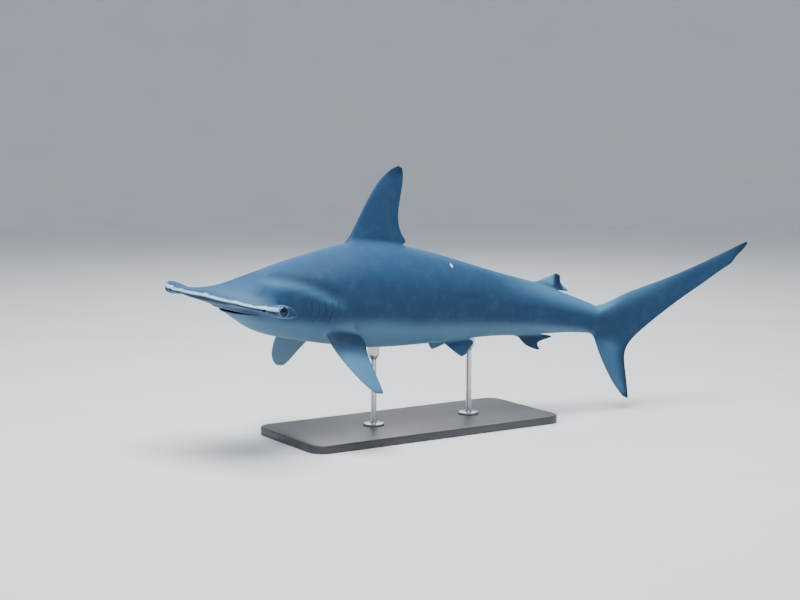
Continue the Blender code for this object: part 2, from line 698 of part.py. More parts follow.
def body_cutters():
    cutters = []
    for n, (x, lean, half_height, z) in enumerate(BODY_CUTS):
        reach = Vector((-math.sin(math.radians(lean)), math.cos(math.radians(lean)))) * half_height
        middle = Vector((x, z))
        outline = strip_outline(middle - reach, middle + reach, GAP)
        cutters.append(prism(f"cut_body_{n}", outline, BODY_CUT_HALF_WIDTH, cut_frame(x)))
    (x0, z0), (x1, z1) = LOWER_LOBE_CUT
    floor = mix(z0, z1, (TAIL_CUT_X - x0) / (x1 - x0))
    outline = strip_outline((TAIL_CUT_X, floor), (TAIL_CUT_X, TAIL_CUT_TOP), GAP)
    cutters.append(prism("cut_tail", outline, FIN_CUT_HALF_WIDTH, cut_frame(TAIL_CUT_X)))
    return cutters


def fin_cutters():
    cutters = []
    upright = {"dorsal": DORSAL_CUT, "second_dorsal": SECOND_DORSAL_CUT, "anal": ANAL_CUT,
               "lower_lobe": LOWER_LOBE_CUT}
    for name, (start, end) in upright.items():
        frame = cut_frame((start[0] + end[0]) / 2)
        cutters.append(prism(f"cut_{name}", strip_outline(start, end, GAP), FIN_CUT_HALF_WIDTH, frame))
    for name, spec, base in (("pectoral", PECTORAL_CUT, PECTORAL_BASE), ("pelvic", PELVIC_CUT, PELVIC_BASE)):
        distance, x0, x1, half_width, droop = spec
        for side in (-1, 1):
            root = root_middle(base, name)
            turn = Matrix.Rotation(side * math.radians(90 - droop), 4, "X")
            frame = cut_frame((x0 + x1) / 2) @ Matrix.Translation((0.0, side * root.y, root.z)) @ turn
            outline = strip_outline((x0, -distance), (x1, -distance), GAP)
            cutters.append(prism(f"cut_{name}_{side}", outline, half_width, frame))
    return cutters


def root_middle(base, name):
    """Middle of the strip of body faces that a paired fin grows from, on the right side."""
    ring = body_ring((base[0] + base[1]) / 2)
    upper = {"pectoral": 5, "pelvic": 6}[name]
    return (ring[upper] + ring[upper + 1]) / 2


def head_cutters():
    """Cuts that free the lobes and the jaw, and open the mouth."""
    frame = cut_frame(NECK_X)
    cutters = []
    (x0, x1), h = LOBE_CUT_X, LOBE_CUT_HALF_HEIGHT
    plate = [(x0, -h), (x1, -h), (x1, h), (x0, h)]
    for side in (-1, 1):
        place = frame @ Matrix.Translation((0.0, side * LOBE_CUT_Y, 0.0))
        cutters.append(prism(f"cut_lobe_{side}", plate, GAP / 2, place))
    z, half_cut = MOUTH_Z, GAP / 2
    jaw = [
        (MOUTH_FRONT_X, z + half_cut), (JAW_END_X + GAP, z + half_cut), (JAW_END_X + GAP, z - 0.2),
        (JAW_END_X, z - 0.2), (JAW_END_X, z - half_cut), (MOUTH_FRONT_X, z - half_cut),
    ]
    cutters.append(prism("cut_jaw", jaw, JAW_CUT_HALF_WIDTH, frame))
    cutters.append(mouth_cutter(frame))
    return cutters


def mouth_cutter(frame):
    """A wedge that opens forward and closes towards the corners of the mouth."""
    loops = []
    for n in range(MOUTH_STATIONS):
        turn = math.pi * (n / (MOUTH_STATIONS - 1) - 0.5)
        y = MOUTH_HALF_WIDTH * math.sin(turn)
        half = max(MOUTH_GAPE / 2 * math.cos(turn) ** 0.7, GAP)
        corners = [(MOUTH_FRONT_X, half), (MOUTH_HINGE_X, 0.0), (MOUTH_FRONT_X, -half)]
        loops.append([frame @ Vector((x, y, MOUTH_Z + rise)) for x, rise in corners])
    return loft("cut_mouth", loops)


def loft(name, loops, closed=False):
    """A solid through loops of points, with flat ends unless it closes on itself."""
    bm = bmesh.new()
    rows = [[bm.verts.new(p) for p in loop] for loop in loops]
    count, sides = len(rows), len(rows[0])
    for i in range(count if closed else count - 1):
        row, after = rows[i], rows[(i + 1) % count]
        for n in range(sides):
            m = (n + 1) % sides
            bm.faces.new((row[n], row[m], after[m], after[n]))
    if not closed:
        bm.faces.new(rows[0])
        bm.faces.new(rows[-1])
    bmesh.ops.recalc_face_normals(bm, faces=bm.faces)
    bmesh.ops.triangulate(bm, faces=bm.faces)
    return object_from(name, bm)


def rope(name, points, radii, closed=False):
    """A round bar along points, with a radius at each."""
    loops = []
    last = len(points) - 1
    for i, (point, radius) in enumerate(zip(points, radii)):
        before = points[i - 1] if i > 0 or closed else point
        after = points[(i + 1) % len(points)] if i < last or closed else point
        run = (after - before).normalized()
        across = run.cross(Vector((0.0, 0.0, 1.0))).normalized()
        if abs(run.z) > 0.99 or closed:
            across = Vector((0.0, 1.0, 0.0))
        up = across.cross(run).normalized()
        turns = [math.tau * n / ROPE_SIDES for n in range(ROPE_SIDES)]
        loops.append([point + radius * (math.cos(t) * across + math.sin(t) * up) for t in turns])
    return loft(name, loops, closed)


def on_surface(tree, start, direction):
    place, normal, _, _ = tree.ray_cast(Vector(start), Vector(direction).normalized())
    return place, normal


def gill_line(tree, n, side, behind, end_lift, lift, reach=1.0):
    """Points down the side of the body along one gill, closing in on the slit at both ends."""
    line = []
    for step in range(GILL_STATIONS):
        s = math.sin(math.pi * (step / (GILL_STATIONS - 1) - 0.5))
        open_share = math.sqrt(1 - 0.97 * s * s)
        x = GILL_XS[n] + GILL_BOW * (1 - s * s) + behind * open_share
        z = GILL_MIDDLE_ZS[n] - GILL_HALF_HEIGHTS[n] * s * reach
        place, normal = on_surface(tree, (x, side * 0.4, z), (0.0, -side, 0.0))
        line.append(place + normal * mix(end_lift, lift, open_share))
    return line


def gill_flap(tree, n, side):
    root = gill_line(tree, n, side, -FLAP_LENGTH, -FLAP_ROOT_DEPTH / 2, -FLAP_ROOT_DEPTH / 2)
    edge = gill_line(tree, n, side, FLAP_OVERHANG, -FLAP_ROOT_DEPTH / 2, FLAP_LIFT)
    under = gill_line(tree, n, side, -SLIT_WIDTH / 2, -FLAP_ROOT_DEPTH, -FLAP_ROOT_DEPTH)
    return loft(f"flap_{n}_{side}", list(zip(root, edge, under)))


def gill_slit(tree, n, side):
    front = gill_line(tree, n, side, -SLIT_WIDTH * 0.4, FLAP_LIFT, FLAP_LIFT, SLIT_REACH)
    rear = gill_line(tree, n, side, SLIT_WIDTH * 0.6, FLAP_LIFT, FLAP_LIFT, SLIT_REACH)
    deep = gill_line(tree, n, side, -SLIT_WIDTH * 0.6, FLAP_LIFT / 2, -SLIT_DEPTH, SLIT_REACH)
    return loft(f"slit_{n}_{side}", list(zip(front, rear, deep)))


def lip(tree, level):
    """The rim of one lip; level is 1 for the upper lip and -1 for the lower."""
    points, radii = [], []
    for n in range(LIP_POINTS):
        s = 2 * n / (LIP_POINTS - 1) - 1
        turn = math.radians(LIP_TURN) * s
        out = Vector((-math.cos(turn), math.sin(turn), 0.0))
        open_share = 1 - abs(s) ** 2.5
        z = MOUTH_Z + level * (LIP_RISE * (0.45 + 0.55 * open_share))
        place, normal = on_surface(tree, Vector((LIP_PIVOT_X, 0.0, z)) + out * 0.3, -out)
        points.append(place - normal * LIP_RADIUS * 0.35)
        radii.append(LIP_RADIUS * (0.35 + 0.65 * (1 - s ** 6)))
    return rope(f"lip_{level}", points, radii)


def eye_place(tree, side):
    """Frame on the straight animal at the eye, whose +Z points out of the head."""
    start = Vector((EYE_X, side * HEAD_HALF_WIDTH, EYE_Z))
    surface, normal, _, _ = tree.find_nearest(start)
    turn = math.radians(EYE_FORWARD)
    outward = Vector((-math.sin(turn), side * math.cos(turn), 0.0))
    ahead = Vector((0.0, 0.0, 1.0)).cross(outward)
    axes = Matrix((ahead, outward.cross(ahead), outward)).transposed()
    return Matrix.Translation(surface) @ axes.to_4x4()


def lid(tree, side):
    """A rim round the eye that follows the end of the hammer."""
    frame = eye_place(tree, side)
    out = frame.col[2].to_3d()
    points = []
    for n in range(LID_POINTS):
        turn = math.tau * n / LID_POINTS
        start = frame @ Vector((LID_RADII[0] * math.cos(turn), LID_RADII[1] * math.sin(turn), 0.03))
        place, _ = on_surface(tree, start, -out)
        if place is None or (place - start).length > 0.05:
            place, _, _, _ = tree.find_nearest(start - out * 0.034)
        points.append(place)
    return rope(f"lid_{side}", points, [LID_RIM_RADIUS] * LID_POINTS, closed=True)


def nostril(side):
    x, y, z = NOSTRIL_AT
    bm = bmesh.new()
    bmesh.ops.create_uvsphere(bm, u_segments=12, v_segments=8, radius=1.0)
    shape = Matrix.Translation((x, side * y, z)) @ Matrix.Diagonal((*NOSTRIL_SIZE, 1.0))
    bmesh.ops.transform(bm, matrix=shape, verts=bm.verts)
    return object_from(f"nostril_{side}", bm)


def narial_groove(tree, side):
    points, radii = [], []
    for n in range(GROOVE_POINTS):
        share = n / (GROOVE_POINTS - 1)
        y = mix(*GROOVE_YS, share)
        z = along(WING_LEVEL, y) - GROOVE_DROP
        place, _ = on_surface(tree, (-0.3, side * y, z), (1.0, 0.0, 0.0))
        points.append(place)
        radii.append(mix(*GROOVE_RADII, share))
    return rope(f"groove_{side}", points, radii)


def simplify(made, triangles):
    """Fewer triangles, where the surface is flattest."""
    now = sum(len(face.vertices) - 2 for face in made.data.polygons)
    fewer = made.modifiers.new("fewer", "DECIMATE")
    fewer.ratio = triangles / now
    fewer.use_collapse_triangulate = True
    apply_modifiers(made)


def add_surface_forms(shark, tree):
    """Gills, nostrils, lips and lids, set on the straight surface and bent with it."""
    sides = (-1, 1)
    gills = range(len(GILL_XS))
    hollows = [gill_slit(tree, n, side) for side in sides for n in gills]
    hollows += [nostril(side) for side in sides] + [narial_groove(tree, side) for side in sides]
    for made in hollows:
        bend_mesh(made)
    carve(shark, "DIFFERENCE", hollows)
    raised = [gill_flap(tree, n, side) for side in sides for n in gills]
    raised += [lip(tree, 1), lip(tree, -1)] + [lid(tree, side) for side in sides]
    for made in raised:
        bend_mesh(made)
    carve(shark, "UNION", raised)


def eye_frames(tree):
    """Frames in the pose at the middle of each eye, whose +Z points out of the head."""
    sunk = Matrix.Translation((0.0, 0.0, EYE_STAND_OUT - EYE_DEPTH))
    sides = {"left": -1, "right": 1}
    return {name: cut_frame(NECK_X) @ eye_place(tree, side) @ sunk for name, side in sides.items()}


def ball(name, radius, depth, frame):
    bm = bmesh.new()
    bmesh.ops.create_uvsphere(bm, u_segments=EYE_SEGMENTS, v_segments=EYE_RINGS, radius=1.0)
    shape = frame @ Matrix.Diagonal((radius, radius, depth, 1.0))
    bmesh.ops.transform(bm, matrix=shape, verts=bm.verts)
    return object_from(name, bm)


def collect(name, objects):
    gathered = bpy.data.collections.new(name)
    bpy.context.scene.collection.children.link(gathered)
    for one in objects:
        gathered.objects.link(one)
        one.hide_render = True
        one.display_type = "WIRE"
    return gathered


def carve(made, operation, tools):
    """Adds to or cuts from an object all of a list of solids, and removes them."""
    gathered = collect("tools", tools)
    step = made.modifiers.new(operation.lower(), "BOOLEAN")
    step.operation = operation
    step.operand_type = "COLLECTION"
    step.collection = gathered
    step.solver = "EXACT"
    apply_modifiers(made)
    for tool in tools:
        bpy.data.objects.remove(tool)
    bpy.data.collections.remove(gathered)
    drop_slivers(made)


def drop_slivers(made):
    """Merges points that lie closer than any real edge, and leaves triangles."""
    bm = bmesh.new()
    bm.from_mesh(made.data)
    bmesh.ops.triangulate(bm, faces=bm.faces)
    bmesh.ops.remove_doubles(bm, verts=bm.verts, dist=SLIVER)
    bmesh.ops.dissolve_degenerate(bm, edges=bm.edges, dist=SLIVER)
    bmesh.ops.triangulate(bm, faces=bm.faces)
    bm.to_mesh(made.data)
    bm.free()


def loose_pieces(made):
    """The separate closed surfaces of an object's mesh, each as a bmesh."""
    bm = bmesh.new()
    bm.from_mesh(made.data)
    left = set(bm.verts)
    groups = []
    while left:
        edge = [left.pop()]
        group = set(edge)
        while edge:
            for link in edge.pop().link_edges:
                for vertex in link.verts:
                    if vertex in left:
                        left.remove(vertex)
                        group.add(vertex)
                        edge.append(vertex)
        groups.append(group)
    pieces = []
    for group in groups:
        one = bm.copy()
        one.verts.ensure_lookup_table()
        keep = {vertex.index for vertex in group}
        bmesh.ops.delete(one, geom=[v for v in one.verts if v.index not in keep], context="VERTS")
        pieces.append(one)
    bm.free()
    return pieces


def holder(pieces, trees, point):
    """The piece whose surface is nearest to a point inside it."""
    best, best_distance = None, math.inf
    for piece, tree in zip(pieces, trees):
        surface, normal, _, distance = tree.find_nearest(point)
        if (point - surface).dot(normal) < 0 and distance < best_distance:
            best, best_distance = piece, distance
    return best


def seed_points():
    points = {name: posed(Vector(place)) for name, place in SEEDS.items()}
    for name, (x, distance, droop) in PAIRED_SEEDS.items():
        base = PECTORAL_BASE if name.startswith("pectoral") else PELVIC_BASE
        root = root_middle(base, name.split("_")[0])
        out = Vector((0.0, math.cos(math.radians(droop)), -math.sin(math.radians(droop))))
        place = Vector((x, root.y, root.z)) + out * distance
        points[f"{name}_right"] = posed(place)
        points[f"{name}_left"] = posed(Vector((place.x, -place.y, place.z)))
    return points


def part_shark(shark):
    """Names each separate piece of the cut animal by the seed that lies in it."""
    pieces = loose_pieces(shark)
    trees = [BVHTree.FromBMesh(piece) for piece in pieces]
    nodes = {}
    for name, point in seed_points().items():
        nodes[name] = object_from(name, holder(pieces, trees, point).copy())
    for piece in pieces:
        piece.free()
    bpy.data.objects.remove(shark)
    return nodes


def skin_colour(name):
    for word, colour in SKIN_COLOURS.items():
        if word in name:
            return colour
    return SKIN_COLOURS["trunk"]


def paint(made, colour, roughness, metallic=0.0):
    material = bpy.data.materials.new(f"{made.name}_finish")
    material.use_nodes = True
    shader = material.node_tree.nodes["Principled BSDF"]
    shader.inputs["Base Color"].default_value = (*colour, 1.0)
    shader.inputs["Roughness"].default_value = roughness
    shader.inputs["Metallic"].default_value = metallic
    made.data.materials.clear()
    made.data.materials.append(material)


def smooth_shade(made, angle=40.0):
    made.data.shade_smooth()
    made.data.set_sharp_from_angle(angle=math.radians(angle))


def build_shark():
    shark = shark_cage(True).mesh_object("shark", SMOOTH_LEVELS)
    tree = BVHTree.FromObject(shark, bpy.context.evaluated_depsgraph_get())
    frames = eye_frames(tree)
    bend_mesh(shark)
    simplify(shark, SHARK_TRIANGLES)
    add_surface_forms(shark, tree)
    sockets = [ball(f"socket_{n}", EYE_RADIUS + GAP, EYE_DEPTH + GAP, f) for n, f in frames.items()]
    carve(shark, "DIFFERENCE", body_cutters() + fin_cutters() + head_cutters() + sockets)
    nodes = part_shark(shark)
    for name, node in nodes.items():
        paint(node, skin_colour(name), SKIN_ROUGHNESS)
        smooth_shade(node)
    for name, frame in frames.items():
        eye = ball(f"eye_{name}", EYE_RADIUS, EYE_DEPTH, frame)
        paint(eye, EYE_COLOUR, EYE_ROUGHNESS)
        smooth_shade(eye)
    return nodes


def build_base():
    """A flat plate with round corners and an eased edge."""
    bm = bmesh.new()
    bmesh.ops.create_cube(bm, size=1.0)
    middle = posed(Vector((BASE_AT_X, 0.0, 0.0)))
    size = Matrix.Diagonal((BASE_LENGTH, BASE_WIDTH, BASE_THICKNESS, 1.0))
    place = Matrix.Translation((middle.x, middle.y, BASE_THICKNESS / 2))
    bmesh.ops.transform(bm, matrix=place @ size, verts=bm.verts)
    upright = [e for e in bm.edges if abs(e.verts[0].co.z - e.verts[1].co.z) > BASE_THICKNESS / 2]
    bmesh.ops.bevel(bm, geom=upright, offset=BASE_CORNER, segments=5, profile=0.5, affect="EDGES")
    top = [e for e in bm.edges if min(v.co.z for v in e.verts) > BASE_THICKNESS - 1e-5]
    bmesh.ops.bevel(bm, geom=top, offset=BASE_EDGE, segments=2, profile=0.5, affect="EDGES")
    base = object_from("stand_base", bm)
    paint(base, STAND_COLOUR, STAND_ROUGHNESS)
    smooth_shade(base, 30.0)


def build_rod(name, x, body):
    """A turned rod with a flat foot and a wider pad, whose top follows the belly."""
    foot = posed(Vector((x, 0.0, along(BELLY, x))))
    bottom = BASE_THICKNESS + GAP
    top = foot.z + ROD_SINK
    pad = foot.z - ROD_PAD_HEIGHT
    profile = [
        (0.0, bottom), (ROD_FOOT_RADIUS, bottom), (ROD_FOOT_RADIUS, bottom + ROD_FOOT_HEIGHT * 0.6),
        (ROD_FOOT_RADIUS * 0.9, bottom + ROD_FOOT_HEIGHT), (ROD_RADIUS * 1.35, bottom + ROD_FOOT_HEIGHT),
        (ROD_RADIUS, bottom + ROD_FOOT_HEIGHT * 2), (ROD_RADIUS, pad - ROD_PAD_HEIGHT),
        (ROD_PAD_RADIUS, pad), (ROD_PAD_RADIUS, top), (0.0, top),
    ]
    bm = bmesh.new()
    points = [bm.verts.new((foot.x + r, foot.y, z)) for r, z in profile]
    edges = [bm.edges.new(pair) for pair in zip(points, points[1:])]
    bmesh.ops.spin(bm, geom=points + edges, cent=(foot.x, foot.y, 0.0), axis=(0.0, 0.0, 1.0),
                   steps=ROD_SEGMENTS, angle=math.tau, use_merge=True)
    bmesh.ops.remove_doubles(bm, verts=bm.verts, dist=1e-6)
    bmesh.ops.recalc_face_normals(bm, faces=bm.faces)
    rod = object_from(f"stand_rod_{name}", bm)
    lowered = bpy.data.objects.new("lowered_body", body.data.copy())
    bpy.context.scene.collection.objects.link(lowered)
    lowered.data.transform(Matrix.Translation((0.0, 0.0, -1.15 * GAP)))
    carve(rod, "DIFFERENCE", [lowered])
    keep_largest(rod)
    paint(rod, STEEL_COLOUR, STEEL_ROUGHNESS, 1.0)
    smooth_shade(rod, 30.0)


def keep_largest(made):
    pieces = loose_pieces(made)
    largest = max(pieces, key=lambda piece: abs(piece.calc_volume()))
    largest.to_mesh(made.data)
    for piece in pieces:
        piece.free()


def centre_model():
    """Puts the middle of the model's footprint at the origin."""
    corners = [v.co for made in bpy.data.objects for v in made.data.vertices]
    shift = [-(min(c[i] for c in corners) + max(c[i] for c in corners)) / 2 for i in (0, 1)]
    for made in bpy.data.objects:
        made.data.transform(Matrix.Translation((shift[0], shift[1], 0.0)))


def main():
    for old in list(bpy.data.objects):
        bpy.data.objects.remove(old)
    nodes = build_shark()
    build_base()
    build_rod("front", ROD_XS["front"], nodes["trunk_front"])
    build_rod("rear", ROD_XS["rear"], nodes["trunk_rear"])
    centre_model()


main()
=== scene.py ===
import math

import bpy
import numpy as np
from mathutils import Matrix, Vector
from mathutils.bvhtree import BVHTree


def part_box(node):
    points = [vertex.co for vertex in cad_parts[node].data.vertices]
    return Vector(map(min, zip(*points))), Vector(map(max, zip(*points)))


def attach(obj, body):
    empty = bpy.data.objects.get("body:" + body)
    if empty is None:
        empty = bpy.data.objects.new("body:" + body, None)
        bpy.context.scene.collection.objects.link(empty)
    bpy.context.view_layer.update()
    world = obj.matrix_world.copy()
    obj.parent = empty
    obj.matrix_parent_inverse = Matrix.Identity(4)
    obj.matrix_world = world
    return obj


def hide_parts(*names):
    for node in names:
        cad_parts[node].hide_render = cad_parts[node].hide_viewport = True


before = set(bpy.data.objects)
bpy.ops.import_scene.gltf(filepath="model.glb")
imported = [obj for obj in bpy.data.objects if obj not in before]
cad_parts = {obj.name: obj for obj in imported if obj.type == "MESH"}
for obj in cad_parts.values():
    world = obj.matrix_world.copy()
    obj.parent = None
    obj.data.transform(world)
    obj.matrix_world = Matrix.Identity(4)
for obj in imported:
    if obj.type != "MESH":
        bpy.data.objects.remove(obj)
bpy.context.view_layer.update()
print("frame loaded with", len(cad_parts), "nodes")


def setMode(mode):
    bpy.ops.object.mode_set(mode=mode)


def clearSelection():
    if bpy.context.object and bpy.context.object.mode != "OBJECT":
        setMode("OBJECT")
    bpy.ops.object.select_all(action="DESELECT")


def useObject(made):
    clearSelection()
    made.select_set(True)
    bpy.context.view_layer.objects.active = made


def addToScene(name, data):
    made = bpy.data.objects.new(name, data)
    bpy.context.scene.collection.objects.link(made)
    return made


def selectParts(made, kind, wanted):
    # leaves the object in edit mode with the wanted faces or edges selected, one value each
    useObject(made)
    setMode("EDIT")
    bpy.ops.mesh.select_mode(type=kind)
    bpy.ops.mesh.select_all(action="DESELECT")
    setMode("OBJECT")
    parts = made.data.polygons if kind == "FACE" else made.data.edges
    parts.foreach_set("select", wanted)
    setMode("EDIT")


def readAll(parts, name):
    # one row of three numbers for each vertex, normal or face
    values = np.empty(len(parts) * 3)
    parts.foreach_get(name, values)
    return values.reshape(-1, 3)


def setPlaces(made, places):
    made.data.vertices.foreach_set("co", places.ravel())
    made.data.update()


def addLayer(made, name, kind, field, values):
    layer = made.data.attributes.new(name, kind, "POINT")
    layer.data.foreach_set(field, np.asarray(values, np.float32).ravel())


def along(points, at):
    # smooth curve through (place, value) points
    if at <= points[0][0]:
        return points[0][1]
    if at >= points[-1][0]:
        return points[-1][1]
    last = len(points) - 1
    i = max(n for n in range(last) if points[n][0] <= at)

    def slope(n):
        before, after = points[max(n - 1, 0)], points[min(n + 1, last)]
        return (after[1] - before[1]) / (after[0] - before[0])

    (x0, v0), (x1, v1) = points[i], points[i + 1]
    width = x1 - x0
    t = (at - x0) / width
    return (v0 * (1 + 2 * t) * (1 - t) ** 2 + slope(i) * width * t * (1 - t) ** 2
            + v1 * t * t * (3 - 2 * t) + slope(i + 1) * width * t * t * (t - 1))


def mix(a, b, share):
    return a + (b - a) * share


def rise(values, low, high):
    # 0 below low, 1 above high, for whole arrays
    return np.clip((values - low) / (high - low), 0.0, 1.0)


def ease(values, low, high):
    # as rise, but smooth at both ends
    t = rise(values, low, high)
    return t * t * (3 - 2 * t)


def band(values, start, full, ebb, end):
    # smoothly up to 1 and back to 0
    return ease(values, start, full) * (1 - ease(values, ebb, end))


def hump(values, centre, width, power=2):
    return np.exp(-((values - centre) / width) ** power)


def curveValues(points, at):
    return np.interp(at, [p[0] for p in points], [p[1] for p in points])


# straight animal: x back from the snout, y to its right, z up, in metres
body = {
    "back": [
        (0.035, 0.001), (0.070, 0.010), (0.102, 0.019), (0.167, 0.043), (0.242, 0.075), (0.337, 0.108),
        (0.431, 0.138), (0.525, 0.167), (0.580, 0.182), (0.690, 0.192), (0.800, 0.187), (0.946, 0.166),
        (1.115, 0.134), (1.202, 0.119), (1.311, 0.102), (1.400, 0.081), (1.492, 0.057), (1.560, 0.038)],
    "belly": [
        (0.035, -0.004), (0.080, -0.019), (0.130, -0.037), (0.181, -0.066), (0.251, -0.098),
        (0.317, -0.114), (0.400, -0.123), (0.500, -0.132), (0.667, -0.141), (0.777, -0.136),
        (0.945, -0.118), (1.085, -0.098), (1.169, -0.086), (1.276, -0.078), (1.382, -0.067),
        (1.487, -0.057), (1.560, -0.056)],
    "halfWidth": [
        (0.250, 0.106), (0.310, 0.111), (0.370, 0.116), (0.457, 0.120), (0.580, 0.123), (0.700, 0.122),
        (0.830, 0.115), (0.950, 0.102), (1.090, 0.086), (1.210, 0.071), (1.317, 0.059), (1.390, 0.051),
        (1.480, 0.042), (1.560, 0.035)],
    "sideShare": 0.47,
    "oversize": 1.02,
    "neckX": 0.250,
    "rings": [
        0.250, 0.310, 0.370, 0.420, 0.457, 0.484, 0.511, 0.538, 0.565, 0.580, 0.615, 0.655, 0.695, 0.735,
        0.775, 0.830, 0.890, 0.950, 0.978, 1.006, 1.035, 1.090, 1.150, 1.210, 1.270, 1.293, 1.317, 1.345,
        1.368, 1.390, 1.430, 1.480, 1.530, 1.560],
    "angles": [
        [(0.25, 0.0)],
        [(0.25, 7.0), (1.39, 7.0), (1.56, 14.0)],
        [(0.25, 34.0), (0.31, 36.0), (0.42, 46.0), (0.51, 48.0), (0.62, 36.0), (1.39, 34.0), (1.56, 38.0)],
        [(0.25, 52.0), (0.31, 57.0), (0.37, 64.0), (0.43, 71.0), (0.51, 76.0), (0.62, 66.0), (0.75, 62.0)],
        [(0.25, 90.0), (0.43, 96.0), (0.51, 98.0), (0.62, 90.0)],
        [(0.25, 114.0), (0.40, 116.0), (0.457, 118.0), (0.565, 118.0), (0.70, 114.0)],
        [(0.25, 138.0), (0.40, 136.0), (0.457, 136.0), (0.565, 136.0), (0.70, 138.0), (0.90, 144.0),
         (0.95, 146.0), (1.035, 146.0), (1.15, 140.0)],
        [(0.25, 166.0), (0.70, 168.0), (0.90, 164.0), (0.95, 162.0), (1.035, 162.0), (1.15, 168.0),
         (1.27, 172.0), (1.56, 169.0)],
        [(0.25, 180.0)]],
    "swell": {  # the gill region stands out under a crest
        2: [(0.25, 0.97), (0.31, 0.94), (0.37, 0.94), (0.43, 0.955), (0.51, 0.985), (0.60, 1.0)],
        3: [(0.25, 1.03), (0.31, 1.065), (0.37, 1.06), (0.43, 1.05), (0.51, 1.02), (0.60, 1.0)],
        4: [(0.25, 1.02), (0.31, 1.035), (0.43, 1.03), (0.51, 1.01), (0.60, 1.0)]},
}
ringHalf = len(body["angles"]) - 1
ringCount = 2 * ringHalf

hammer = {
    "halfWidth": 0.252,
    "front": [
        (0.0, 0.039), (0.020, 0.033), (0.055, 0.032), (0.092, 0.037), (0.117, 0.052), (0.142, 0.052),
        (0.174, 0.063), (0.197, 0.089), (0.213, 0.086), (0.231, 0.094), (0.244, 0.107), (0.252, 0.132)],
    "rear": [
        (0.100, 0.262), (0.114, 0.240), (0.138, 0.216), (0.165, 0.203), (0.195, 0.199), (0.220, 0.201),
        (0.234, 0.200), (0.245, 0.189), (0.252, 0.154)],
    "thickness": [
        (0.0, 0.044), (0.09, 0.033), (0.13, 0.026), (0.165, 0.024), (0.188, 0.026), (0.205, 0.032),
        (0.222, 0.038), (0.239, 0.040), (0.252, 0.036)],
    "rearDrop": [(0.100, 0.004), (0.150, 0.007), (0.252, 0.010)],
    "upperShare": 0.53,
    "level": [(0.0, 0.0), (0.12, -0.003), (0.20, -0.007), (0.252, -0.007)],
    "centreFronts": [0.0, 0.030, 0.060, 0.090],
    "wingFronts": [0.116, 0.140, 0.161, 0.181, 0.197, 0.212, 0.228, 0.242, 0.252],
    "wingRears": [0.110, 0.130, 0.151, 0.172, 0.192, 0.210, 0.226, 0.240, 0.252],
    "shares": [0.03, 0.12, 0.27, 0.46, 0.66, 0.86],
    "fullness": [0.46, 0.80, 1.0, 0.96, 0.72, 0.38],
    "upperDome": [(0.035, 0.150), (0.10, 0.122), (0.16, 0.112), (0.250, 0.106)],
    "lowerDome": [(0.035, 0.18), (0.10, 0.118), (0.16, 0.100), (0.250, 0.106)],
    "blend": 0.008,
    "spread": 1.4,
}

